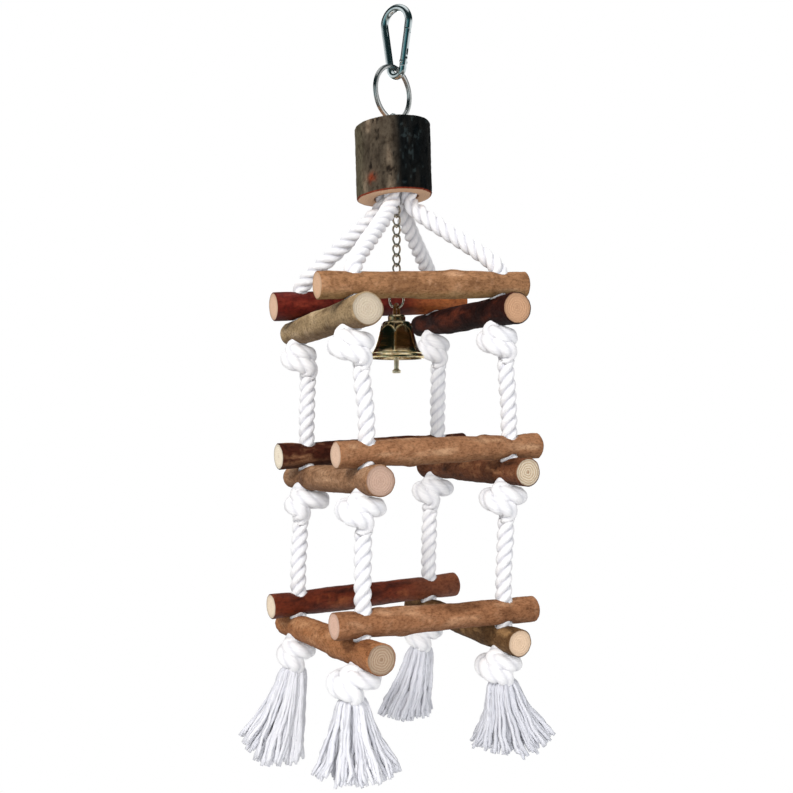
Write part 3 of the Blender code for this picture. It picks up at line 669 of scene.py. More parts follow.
def sawn_look():
    """A sawn end: yearly rings, specks, a pith and a fine bump. 'grain' holds the place across it."""
    look = Look("sawn_wood", Roughness=0.8, Specular_IOR_Level=0.25)
    across = look.attribute("grain", "Vector")
    strong = look.attribute("rings")
    out = look.vector_math("LENGTH", across)
    wobbly = look.plus(out, look.times(look.noise(across, 260.0, 3.0), 1.6 * MM))
    rings = look.math("SINE", look.times(wobbly, 5200.0))
    shade = look.times(look.plus(rings, 1.0), strong)
    specks = look.ramp(look.noise(across, 1300.0, 5.0, 0.7), [(0.35, 0.5), (0.6, 0.0)])
    pith = look.ramp(look.times(out, 1000.0), [(0.0, 1.0), (0.5, 0.6), (0.95, 0.0)])
    pith = look.times(look.times(pith, strong), 1.6)
    colour = look.mix(shade, look.attribute("tint", "Color"), (0.72, 0.62, 0.53), "MULTIPLY")
    colour = look.mix(specks, colour, (0.72, 0.63, 0.56), "MULTIPLY")
    look.colour(look.mix(pith, colour, (0.5, 0.34, 0.24), "MULTIPLY"))
    look.bump(look.plus(rings, look.noise(across, 1100.0, 4.0)), 0.12 * MM, 0.5)
    return look.material


def metal_look(name, colour, rough, scratch=0.08):
    """Plated or polished metal with faint smears and scratches."""
    look = Look(name, Metallic=1.0)
    smears = look.noise(look.place, 300.0, 4.0, 0.6)
    look.colour(look.ramp(smears, [(0.3, tuple(c * 0.72 for c in colour)), (0.62, colour)]))
    look.roughness(look.ramp(smears, [(0.3, rough + scratch), (0.7, rough)]))
    look.bump(look.noise(look.place, 2600.0, 3.0, 0.6), 0.06 * MM, 0.4)
    return look.material


def bell_look():
    """Cast brass: bright on raised lines and the rim, dark and warm in the panels."""
    look = Look("bell_brass", Metallic=1.0)
    smears = look.noise(look.place, 420.0, 4.0, 0.6)
    bright = look.ramp(smears, [(0.3, linear(212, 180, 112)), (0.65, linear(250, 238, 200))])
    worn = look.ramp(smears, [(0.3, linear(44, 28, 12)), (0.7, linear(112, 76, 34))])
    look.colour(look.mix(look.times(look.attribute("dark"), 0.8), bright, worn))
    look.roughness(look.ramp(smears, [(0.3, 0.22), (0.7, 0.12)]))
    look.bump(look.noise(look.place, 1800.0, 3.0), 0.08 * MM, 0.5)
    return look.material


COTTON = cotton_look()
YARN = yarn_look()
BARK = bark_look("bark", 0.2, 1.0, 0.82, 0.14)
SMOOTH_BARK = bark_look("smooth_bark", 0.1, 0.8, 0.55, 0.22)
ROUGH_BARK = bark_look("rough_bark", 0.4, 0.6, 0.88, 0.1)
SAWN = sawn_look()
ZINC = metal_look("zinc", linear(214, 224, 226), 0.12, 0.05)
NICKEL = metal_look("nickel", linear(206, 209, 208), 0.16)
CHAIN = metal_look("warm_nickel", linear(216, 208, 192), 0.14, 0.05)
PALE_BRASS = metal_look("pale_brass", linear(255, 248, 222), 0.5)
BELL = bell_look()
BELL_LOOP = metal_look("bell_loop", linear(150, 104, 60), 0.25)


# ---- ropes and knots

ROPE_SIDES = 36
# The middle of a tied rope, in mm: sideways, towards the front, and down from the knot's top. It comes
# out of its hole, crosses the front, goes round the back, and crosses the front again below itself.
KNOT_TIED = (
    (0.0, 0.0, -4.0),
    (-1.4, 0.6, -0.8),
    (-6.0, 2.2, 3.6),
    (-1.4, 5.2, 4.4),
    (5.0, 4.6, 5.2),
    (8.4, -0.2, 5.9),
    (5.0, -5.2, 6.1),
    (-2.0, -6.2, 6.1),
    (-7.8, -3.6, 6.5),
    (-9.0, 1.2, 7.8),
    (-6.2, 4.8, 9.7),
    (-1.0, 5.4, 10.9),
)
# How far each knot is turned about its rope, and how far out and up its left lobe sits.
KNOT_TURNS = by_tier(
    CORNERS,
    (0, 0.0, 0.0), (6, 0.3, 0.4), (-5, 0.0, -0.4), (4, 0.0, 0.3),
    (-10, 0.8, 0.9), (-4, 0.8, 0.6), (14, 0.0, -0.5), (-8, 0.6, 0.4),
    (-8, 1.0, 1.0), (-3, 0.7, 0.8), (8, 0.0, 0.0), (-6, 0.4, 0.2),
)
# The points of KNOT_TIED that move out and up with the left lobe.
LOBE_OUT, LOBE_UP = slice(8, 11), slice(7, 10)
# Half the width of KNOT_TIED without its rope's thickness, and half that thickness when squeezed.
TIED_REACH, TIED_THICK = 8.3, 4.2


def knot_route(tier, name):
    """From the drilled hole, through the knot, to where the rope leaves it."""
    width, lean, exit_shift = KNOTS[tier, name]
    degrees, lobe_out, lobe_up = KNOT_TURNS[tier, name]
    side = KNOT_SIDE / np.linalg.norm(KNOT_SIDE)
    front = np.array((side[1], -side[0], 0.0))
    tied = np.array(KNOT_TIED)
    tied[LOBE_UP, 2] -= lobe_up
    tied[LOBE_OUT, 0] -= lobe_out
    c, s = cos(radians(degrees)), sin(radians(degrees))
    across = (tied[:, 0] * c - tied[:, 1] * s) * (width / 2 - TIED_THICK) / TIED_REACH
    across[2:] += lean * smooth_step(0, 6, tied[2:, 2])
    tied = np.stack([across, tied[:, 0] * s + tied[:, 1] * c, tied[:, 2]], axis=1)
    ends = [(exit_shift + 1.9, 3.6, 12.4), (exit_shift + 0.5, 1.3, 14.8), (exit_shift, 0.0, 17.5)]
    tied = np.vstack([tied, ends]) * MM
    top = corner(tier, name)
    top[2] = knot_top(tier, name)
    route = top + tied[:, :1] * side + tied[:, 1:2] * front - tied[:, 2:] * UP
    return resampled(softened(resampled(route, 0.6 * MM), 22), KNOT_STEP)


def rope_surface(points, phase, knotted=0.0):
    """Three strands laid right-handed round a route: points, painted shade for the grooves, and yarn
    coordinates.

    Over its first length, 'knotted', the rope is squeezed: fuller, with shallower grooves and lighter painted
    shade in them.
    """
    gone = gone_along(points)
    around = full_turn(ROPE_SIDES)[None] + phase + 2 * pi * gone[:, None] / ROPE_LAY
    local = (full_turn(ROPE_SIDES) + pi / 3) % (2 * pi / 3) - pi / 3
    strand, out = 0.6 * ROPE_RADIUS, 0.4 * ROPE_RADIUS
    reach = out * np.cos(local) + np.sqrt(strand**2 - (out * np.sin(local)) ** 2)
    # Painted shade for the grooves: 0 on the strands' crests, up to 1 deep between them.
    groove_shade = 1 - np.clip(1.25 - (ROPE_RADIUS - reach) / (0.31 * ROPE_RADIUS), 0, 1)
    uneven = 1 + 0.025 * soft_noise(gone[:, None] * (260, 0, 0), 5)
    tight = smooth_step(0, 6 * MM, gone) * (1 - smooth_step(knotted - 7 * MM, knotted + 3 * MM, gone))
    full = 0.45 * tight[:, None]
    reach = (reach * (1 - full) + 0.97 * ROPE_RADIUS * full) * (uneven * (1 + 0.07 * tight))[:, None]
    cloud = points[:, None] + reach[..., None] * crossways(turning_frames(points), around)
    yarn = [ROPE_RADIUS * np.cos(around), ROPE_RADIUS * np.sin(around), gone[:, None] + 0 * around]
    return cloud, groove_shade * (1 - 0.4 * tight[:, None]), np.stack(yarn, axis=2)


def rope_piece(name, surface, first=None, last=None):
    """A stretch of a rope's surface as a closed piece."""
    cloud, groove_shade, yarn = (part[first:last] for part in surface)
    rows, sides = cloud.shape[:2]
    points = np.vstack([cloud.reshape(-1, 3), cloud[[0, -1]].mean(axis=1)])
    faces = grid_faces(rows, sides)
    low, high = rows * sides, rows * sides + 1
    for j in range(sides):
        k = (j + 1) % sides
        faces.append((low, k, j))
        faces.append((high, (rows - 1) * sides + j, (rows - 1) * sides + k))
    piece = put(name, points, faces, [COTTON])
    paint_points(piece, "groove_shade", np.r_[groove_shade.ravel(), 1, 1], "FLOAT")
    paint_points(piece, "yarn", np.vstack([yarn.reshape(-1, 3), np.zeros((2, 3))]), "FLOAT_VECTOR")
    return piece


def make_ropes():
    """Each corner's rope: a taut run from the block, then a knot under each tier and a run between knots."""
    for name in CORNERS:
        route = rope_route(1, name)
        piece = rope_piece(f"rope_run_{name}_1", rope_surface(route, 0.7 * len(name) + CORNERS[name][0]))
        finish_piece(piece, "tier_1", f"rope_{name}_1")
        for tier in (1, 2):
            knot = knot_route(tier, name)
            knotted = gone_along(knot)[-1]
            join = resampled(np.vstack([knot, rope_route(tier + 1, name)[1:]]), ROUTE_STEP)
            surface = rope_surface(join, 0.9 * tier, knotted)
            split = int(round(len(join) * (knotted - MM) / gone_along(join)[-1]))
            piece = rope_piece(f"rope_knot_{name}_{tier}", surface, 0, split + 1)
            body = "tier_1" if tier == 1 else "tier_2_knots"
            finish_piece(piece, body, f"knot_{name}_{tier}")
            piece = rope_piece(f"rope_run_{name}_{tier + 1}", surface, split, len(join))
            end = stick_top(tier + 1, name) + ROPE_UPRIGHT - MM
            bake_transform(piece)
            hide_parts(f"rope_{name}_{tier + 1}")
        knot = knot_route(3, name)
        piece = rope_piece(f"rope_knot_{name}_3", rope_surface(knot, 2.1, gone_along(knot)[-1] + 4 * MM))
        finish_piece(piece, "tier_3_knots", f"knot_{name}_3")


# ---- tassels

CLUMPS, INNER_CLUMPS = 46, 14
GOLDEN_ANGLE = 2.39996
YARN_ROWS, YARN_SIDES = 20, 5


def make_tassel(name, seed):
    """The rope's end, unravelled into yarns that hang in clumps and flare into a skirt."""
    rng = np.random.default_rng(seed)
    lean_x, lean_y, foot, level = TASSELS[name]
    left_rise, right_rise = TASSEL_HEMS[name]
    side = KNOT_SIDE / np.linalg.norm(KNOT_SIDE)
    root = knot_exit(3, name) + 3.5 * MM * UP
    lean = np.array((lean_x, lean_y, 0)) * MM
    t = np.linspace(0, 1, YARN_ROWS)
    flare = (3.6 + 3.0 * smooth_step(0, 0.14, t) + (foot - 7.6) * (0.45 * t + 0.55 * t**2.2)) * MM
    clouds, tones_and_shades, faces = [], [], []
    for c in range(CLUMPS):
        inner = c < INNER_CLUMPS
        share = np.sqrt((c + 0.4) / INNER_CLUMPS) * 0.82 if inner else 1.0 - 0.12 * rng.random()
        angle = c * GOLDEN_ANGLE + rng.uniform(-0.15, 0.15)
        flat = np.array((cos(angle), sin(angle) * 0.88, 0.0))
        lateral = (flat @ side) * share
        rise = (left_rise if lateral < 0 else right_rise) * lateral**2 * MM
        low = level * MM + rise + rng.uniform(0, 2.2) * MM
        wave = rng.uniform(0, 2 * pi, 4)
        for _ in range(4 if inner else 6):
            count = len(clouds)
            end = low + rng.uniform(-0.3, 2.4) * MM
            along = t ** (0.94 + 0.12 * rng.random())
            path = root + flat * (flare * share)[:, None] + lean * (t**1.3)[:, None]
            path[:, 2] = root[2] + (end - root[2]) * along
            path[:, 0] += MM * t * (1.1 * np.sin(t * 5 + wave[0]) + 0.5 * np.sin(t * 13 + wave[1]))
            path[:, 1] += MM * t * 1.1 * np.sin(t * 4 + wave[2])
            spin = rng.uniform(0, 2 * pi) + rng.uniform(-2.5, 2.5) * t
            apart = (0.5 + 1.5 * rng.random() * t + 0.4 * t**3) * MM
            kink = 0.5 * MM * t * soft_noise(np.stack([t * 9, t * 0 + count, t * 0], axis=1), seed)
            path[:, 0] += np.cos(spin) * apart + kink
            path[:, 1] += np.sin(spin) * apart - kink
            thick = rng.uniform(0.56, 0.8) * MM * (1 + 0.12 * np.sin(t * 40 + count))
            thick *= (1 + 0.55 * t**1.5) * (1 - 0.35 * t**16)
            around = full_turn(YARN_SIDES) + t[:, None] * 6
            ring = crossways(turning_frames(path), around, 1.2, 0.8)
            faces += tube_faces(YARN_ROWS, YARN_SIDES, count * YARN_ROWS * YARN_SIDES)
            clouds.append(path[:, None] + thick[:, None, None] * ring)
            # Painted shade: darker deep in the tassel and on the shaded tassels, times a random tone.
            tone = (0.35 + 0.65 * share**2) * rng.uniform(0.7, 1.08) * TASSEL_SHADING[name]
            tones_and_shades.append(np.full(YARN_ROWS * YARN_SIDES, min(tone, 1)))
    piece = put(f"tassel_yarns_{name}", np.array(clouds), faces, [YARN])
    paint_points(piece, "tone", np.concatenate(tones_and_shades), "FLOAT")
    finish_piece(piece, f"tassel_{name}", f"tassel_{name}")


# ---- bark and sawn faces


class Log:
    """A piece of branch: a painted wall of rings, to which sawn faces are added ring by ring."""

    def __init__(self, wall, colours, rows, sides, across):
        self.points, self.tints, self.grains = [wall], [colours], [wall]
        self.faces = grid_faces(rows, sides)
        self.kinds = [0] * len(self.faces)
        self.sides, self.count = sides, len(wall)
        self.across = np.array(across)

    def saw(self, previous, rings, forwards):
        """Adds rings, each with its colour, inwards from the one whose point numbers are given."""
        for ring, tone in rings:
            ids = np.arange(self.count, self.count + len(ring))
            self.points.append(ring)
            self.tints.append(np.repeat([tone], len(ring), axis=0))
            self.grains.append(ring * self.across)
            for j in range(self.sides):
                k = (j + 1) % self.sides
                face = [previous[j], previous[k], ids[k % len(ids)], ids[j % len(ids)]]
                if len(ids) == 1:
                    face.pop()
                self.faces.append(tuple(int(q) for q in (face if forwards else face[::-1])))
                self.kinds.append(1)
            self.count += len(ring)
            previous = ids
        return previous

    def piece(self, name, bark, rings, order=(0, 1, 2)):
        piece = put(name, np.vstack(self.points), self.faces, [bark, SAWN])
        piece.data.polygons.foreach_set("material_index", self.kinds)
        paint_points(piece, "tint", np.vstack(self.tints))
        paint_points(piece, "grain", np.vstack(self.grains)[:, order], "FLOAT_VECTOR")
        paint_points(piece, "rings", np.full(self.count, rings), "FLOAT")
        piece.data.set_sharp_from_angle(angle=radians(50))
        return piece


# ---- sticks

# Colours of each stick: main, light, dark, underside (painted shade), near sawn end, far sawn end.
PALETTES = by_tier(
    STICK_ENDS,
    ((148, 108, 76), (178, 138, 106), (110, 76, 50), (122, 98, 62), (204, 168, 138), (190, 150, 112)),
    ((86, 22, 15), (132, 52, 36), (38, 8, 6), (60, 14, 10), (216, 182, 156), (206, 146, 92)),
    ((152, 130, 98), (186, 164, 132), (96, 76, 54), (104, 80, 58), (184, 172, 154), (160, 130, 100)),
    ((42, 15, 10), (94, 44, 28), (10, 4, 3), (22, 8, 5), (184, 146, 116), (130, 96, 70)),
    ((146, 104, 74), (176, 138, 106), (108, 70, 46), (114, 80, 54), (212, 182, 160), (160, 114, 80)),
    ((62, 28, 18), (142, 102, 74), (18, 8, 5), (44, 20, 13), (238, 230, 212), (140, 110, 80)),
    ((142, 106, 78), (174, 138, 108), (90, 60, 42), (106, 74, 50), (180, 152, 136), (160, 108, 80)),
    ((106, 65, 43), (160, 112, 78), (38, 21, 14), (64, 38, 26), (204, 192, 172), (140, 110, 80)),
    ((142, 98, 68), (172, 130, 98), (102, 66, 42), (112, 76, 52), (208, 174, 156), (166, 124, 88)),
    ((94, 38, 20), (134, 72, 42), (42, 13, 8), (58, 22, 12), (232, 216, 194), (160, 108, 76)),
    ((154, 104, 68), (182, 134, 96), (112, 70, 44), (114, 72, 46), (170, 150, 130), (160, 108, 72)),
    ((96, 69, 43), (150, 116, 78), (34, 23, 14), (60, 42, 26), (212, 186, 160), (150, 118, 86)),
)
# How strongly the yearly rings show in each near sawn end.
RINGS = {(1, "left"): 0.05, (1, "right"): 0.12, (2, "right"): 0.5, (3, "left"): 0.4, (2, "back"): 0.2}
# A colour that a stick's bark runs into towards its far end.
RUNS_INTO = {(1, "back"): (182, 106, 56), (3, "back"): (120, 70, 46)}
# Branch scars and swellings: distance along from the middle, angle from the top, size and height.
BUMPS = by_tier(
    STICK_ENDS,
    [(16, 10, 9, 0.7), (-30, -60, 6, 0.4), (40, 80, 5, 0.4)],
    [(-34, -80, 7, 0.5)],
    [(-22, 120, 8, 0.6), (10, 60, 7, 0.5)],
    [(20, 170, 8, 0.6), (-10, -60, 6, 0.6)],
    [(26, 20, 6, 1.1), (-16, 170, 7, 0.9), (-38, 0, 6, 0.6), (48, -60, 5, 0.4)],
    [(38, 0, 7, 0.9), (-40, 0, 6, 0.7)],
    [(30, 150, 7, 0.6), (-20, 60, 6, 0.5)],
    [(-34, -70, 7, 0.8), (20, 100, 6, 0.5)],
    [(-34, 0, 6, 0.7), (-20, 175, 7, 0.9), (38, -40, 4, 0.8), (36, 40, 4, 0.6)],
    [(4, -40, 5, 0.7), (30, -60, 5, 0.4)],
    [(-36, 170, 6, 0.9), (-10, 150, 6, 0.7), (20, 90, 6, 0.6)],
    [(-20, -80, 6, 0.6), (30, 120, 6, 0.5)],
)
# How much stronger or weaker than usual the bark's relief is.
RUGGED = {(2, "front"): 1.3, (1, "back"): 0.5, (3, "back"): 0.7, (3, "left"): 1.2}
STICK_ROWS, STICK_SIDES = 150, 64
STICK_EDGE = 0.35 * MM
DRILL_RADIUS = 4.3 * MM


def stick_colours(tier, side, along, angle, cloud, height):
    """Bark colour at each point: patches of light and dark, painted shade on the underside, and scars."""
    main, light, dark, under, _, _ = (np.array(linear(*c)) for c in PALETTES[tier, side])
    seed = tier * 10 + len(side)
    broad = layered_noise(cloud, (16, 5, 5), 3, seed)
    spots = layered_noise(cloud, 3.2, 3, seed + 40)
    colour = toward(main, light, smooth_step(0.05, 0.55, broad))
    colour = toward(colour, dark, smooth_step(0.1, 0.6, -broad) * 0.8)
    colour = toward(colour, dark, smooth_step(0.2, 0.7, spots) * 0.5)
    colour = toward(colour, light, smooth_step(0.2, 0.7, -spots) * 0.5)
    # Painted shade: the underside runs towards the darker underside colour.
    colour = toward(colour, under, smooth_step(0.3, 0.95, -np.cos(angle) + 0.25 * broad) * 0.75)
    colour = toward(colour, dark, np.clip(height / (0.6 * MM), 0, 1) * 0.35)
    if (tier, side) in RUNS_INTO:
        far = np.array(linear(*RUNS_INTO[tier, side])) * (1 + 0.25 * spots[:, None])
        colour = toward(colour, far, smooth_step(12 * MM, 46 * MM, along + 5 * MM * broad) * 0.8)
    return colour


def make_stick(tier, side, material):
    """A stick with its own bark relief, sawn ends, and two holes that the ropes run through."""
    half = STICKS[tier, side][2] * MM / 2
    along = np.r_[-half, np.linspace(-half + STICK_EDGE, half - STICK_EDGE, STICK_ROWS - 2), half]
    a, w = np.meshgrid(along, full_turn(STICK_SIDES), indexing="ij")
    radius = stick_radius(tier, side, a, WAIST * (0.3 if tier == 1 else 1.0)).ravel()
    a, w = a.ravel(), w.ravel()
    surface = np.stack([a, radius * np.sin(w), radius * np.cos(w)], axis=1)
    seed = tier * 10 + len(side)
    relief = 0.38 * MM * layered_noise(surface, (11, 6, 6), 3, seed + 3)
    relief += 0.13 * MM * layered_noise(surface, (2.6, 1.3, 1.3), 2, seed + 9)
    relief *= RUGGED.get((tier, side), 1.0)
    swelling = np.zeros(len(surface))
    for at, degrees, size, height in BUMPS[tier, side]:
        around = (w - radians(degrees) + pi) % (2 * pi) - pi
        far = np.hypot((a - at * MM) / (size * MM), around * 7 / size)
        swelling += height * MM * np.exp(-4 * far**2) * (1 - 0.55 * np.exp(-30 * far**2))
    radius = radius + relief + swelling
    radius[:STICK_SIDES] -= STICK_EDGE
    radius[-STICK_SIDES:] -= STICK_EDGE
    surface = np.stack([a, radius * np.sin(w), radius * np.cos(w)], axis=1)
    log = Log(surface, stick_colours(tier, side, a, w, surface, swelling), STICK_ROWS, STICK_SIDES, (0, 1, 1))
    for far_end in (False, True):
        pale = np.array(linear(*PALETTES[tier, side][4 + far_end]))
        ids = np.arange(len(surface))[-STICK_SIDES:] if far_end else np.arange(STICK_SIDES)
        rim = surface[ids]
        steps = ((0.93, 0.8), (0.6, 1.0), (0.3, 1.0))
        rings = [(rim * (1, share, share), pale * tone) for share, tone in steps]
        log.saw(ids, [*rings, (rim[:1] * (1, 0, 0), pale * 0.97)], far_end)
    piece = log.piece(f"bark_stick_{tier}_{side}", material, RINGS.get((tier, side), 0.06))
    middle, direction = stick_line(tier, side)
    turn = Vector((1, 0, 0)).rotation_difference(Vector(direction)).to_matrix().to_4x4()
    piece.data.transform(Matrix.Translation(middle) @ turn)
    drill(piece, [corner(tier, name) for name in STICK_ENDS[side]])
    node = f"tier_{tier}_{side}_stick"
    body = node if side in ("front", "back") else f"tier_{tier}_side_sticks"
    finish_piece(piece, "tier_1" if tier == 1 else body, node)


def drill(piece, places):
    """Cuts upright round holes with plain sawn walls, painted dark brown as shade inside the hole."""
    shape = bmesh.new()
    for at in places:
        matrix = Matrix.Translation(at)
        size = {"radius1": DRILL_RADIUS, "radius2": DRILL_RADIUS, "depth": 44 * MM}
        bmesh.ops.create_cone(shape, cap_ends=True, segments=40, matrix=matrix, **size)
    mesh = bpy.data.meshes.new("drill")
    shape.to_mesh(mesh)
    shape.free()
    mesh.materials.append(SAWN)
    tool = add_to_scene("drill", mesh)
    count = len(mesh.vertices)
    # Painted shade: the hole walls are dark brown.
    paint_points(tool, "tint", np.repeat([linear(120, 84, 54)], count, axis=0))
    paint_points(tool, "grain", np.repeat([(4 * MM, 1 * MM, 2 * MM)], count, axis=0), "FLOAT_VECTOR")
    paint_points(tool, "rings", np.zeros(count), "FLOAT")
    cut_out(piece, [tool], solver="MANIFOLD", material_mode="TRANSFER")


# ---- block

BLOCK_TOP = -61.3 * MM
BLOCK_BOTTOM = -99.5 * MM
BLOCK_RADIUS = 20.0 * MM
BLOCK_SLOPE = (0.055, -0.085)
BORE_RADIUS = 11.8 * MM
BORE_TOP = -82.0 * MM
BLOCK_ROWS, BLOCK_SIDES = 90, 180


def block_colours(level, angle, share, flat, pits):
    """The block's bark: lighter and olive at the left as painted light, grey-brown in the middle, and almost
    black at the right as painted shade.
    """
    main, light, dark = (np.array(linear(*c)) for c in ((70, 62, 52), (118, 104, 88), (20, 15, 12)))
    broad = layered_noise(flat, (5, 5, 16), 3, 75)
    colour = toward(main, light, smooth_step(0.05, 0.6, broad))
    colour = toward(colour, dark, smooth_step(0.1, 0.6, -broad) * 0.6)
    colour = toward(colour, dark, smooth_step(0.25, 0.5, pits) * 0.85)
    facing = (angle - radians(244) + pi) % (2 * pi) - pi
    # Painted light: the left side turns lighter and olive.
    colour = toward(colour, np.array(linear(86, 82, 64)), smooth_step(-0.7, -1.25, facing) * 0.6)
    flecks = smooth_step(0.35, 0.6, layered_noise(flat, (1.4, 1.4, 3), 2, 77))
    # Painted shade: the right side turns almost black teal with grey flecks, fading out behind its edge.
    right_side_shade = toward(np.array(linear(3, 8, 11)), np.array(linear(34, 44, 46)), flecks * 0.8)
    shady = smooth_step(-0.12, 0.2, facing + 0.12 * broad) * (1 - smooth_step(1.7, 2.3, facing))
    colour = toward(colour, right_side_shade, shady * 0.95)
    blot = np.hypot((level + 92 * MM) / (2.4 * MM), (facing + 0.62) / 0.11)
    red = np.clip(1.3 * np.exp(-(blot**2)) - 0.4 * (pits > 0.2), 0, 1)
    colour = toward(colour, np.array(linear(116, 54, 34)), red)
    colour[share < 0.02] = linear(120, 52, 34)
    return colour


def make_block():
    """The slice of branch: rough bark round it, sawn faces, and the bore that the ropes come out of."""
    angle = full_turn(BLOCK_SIDES)
    s, w = (grid.ravel() for grid in np.meshgrid(np.linspace(0, 1, BLOCK_ROWS), angle, indexing="ij"))
    radius = BLOCK_RADIUS * (1 + 0.012 * np.sin(2 * w + 0.6) + 0.006 * np.sin(5 * w))
    z = BLOCK_BOTTOM + (BLOCK_TOP - BLOCK_BOTTOM) * s
    flat = np.stack([radius * np.cos(w), radius * np.sin(w), z], axis=1)
    pits = layered_noise(flat, (2.2, 2.2, 4.5), 3, 71)
    relief = 0.5 * MM * layered_noise(flat, (9, 9, 22), 3, 70)
    relief -= 0.5 * MM * smooth_step(0.28, 0.6, pits)
    relief += 0.16 * MM * layered_noise(flat, 1.3, 2, 72)
    relief -= 0.4 * MM * (1 - smooth_step(0, 0.02, np.minimum(s, 1 - s)))
    x = (radius + relief) * np.cos(w) + (-1.1 - 1.1 * s) * MM
    y = (radius + relief) * np.sin(w) + 0.2 * s * MM
    wall = np.stack([x, y, z + BLOCK_SLOPE[0] * x + BLOCK_SLOPE[1] * y], axis=1)
    log = Log(wall, block_colours(z, w, s, flat, pits), BLOCK_ROWS, BLOCK_SIDES, (1, 1, 0))
    rim = wall[-BLOCK_SIDES:]
    middle = rim.mean(axis=0)
    rings = [middle + (rim - middle) * k for k in (0.94, 0.6, 0.25)] + [middle[None]]
    top = linear(172, 136, 110)
    log.saw(np.arange(len(wall))[-BLOCK_SIDES:], [(ring, top) for ring in rings], True)
    rim = wall[:BLOCK_SIDES]
    mouth = revolved(np.array([(BORE_RADIUS, 0)]), angle)[0]
    deep = mouth + BORE_TOP * UP
    mouth[:, 2] = BLOCK_BOTTOM + BLOCK_SLOPE[0] * mouth[:, 0] + BLOCK_SLOPE[1] * mouth[:, 1]
    rings = [(rim + (mouth - rim) * k, linear(222, 184, 150)) for k in (0.08, 0.5, 0.97)]
    # Painted shade inside the bore: its walls darker brown, its bottom darker still.
    rings += [(ring, linear(150, 104, 76)) for ring in (mouth + 0.3 * MM * UP, deep)]
    rings.append((np.array([[0, 0, BORE_TOP]]), linear(90, 60, 44)))
    log.saw(np.arange(BLOCK_SIDES), rings, False)
    piece = log.piece("branch_block", ROUGH_BARK, 0.08, (2, 0, 1))
    finish_piece(piece, "block", "hanger_block")


# ---- hook, ring and screw eyes

HOOK_WIRE = 4.0 * MM
HOOK_TURN = radians(-63)
RING_TURN = radians(24.5)
RING_PLACE = (-2.912 * MM, -1.327 * MM, -44.2 * MM)
RING_RADIUS = 14.0 * MM
RING_STEPS, RING_SIDES = 220, 16
RIVET_Z = -27.6 * MM
GATE_TIP_Z = -10.6 * MM
GATE_RADIUS = 1.9 * MM
SPRING_RADIUS, SPRING_TURNS = 0.55 * MM, 7
WIDE, WIDE_Z, NARROW, NARROW_Z = 8.0 * MM, -6.0 * MM, 4.0 * MM, -30.5 * MM


def leg_x(z):
    lean = (WIDE - NARROW) / (WIDE_Z - NARROW_Z)
    return (WIDE + lean * (z - WIDE_Z)) * (1 + lean**2 / 2)


def cut_metal(piece, tools):
    cut_out(piece, tools, solver="EXACT")
    piece.data.shade_smooth()
    piece.data.set_sharp_from_angle(angle=radians(35))


def leg_box(half_x, half_y, low, high, offset_x=0.0, offset_y=0.0):
    """A box that follows the gate's leg, to cut with."""
    points = []
    for z in (low, high):
        for a, b in ((-1, -1), (1, -1), (1, 1), (-1, 1)):
            points.append((leg_x(z) + a * half_x + offset_x, b * half_y + offset_y, z))
    return put("tool", points, tube_faces(2, 4), [ZINC], smooth=False)


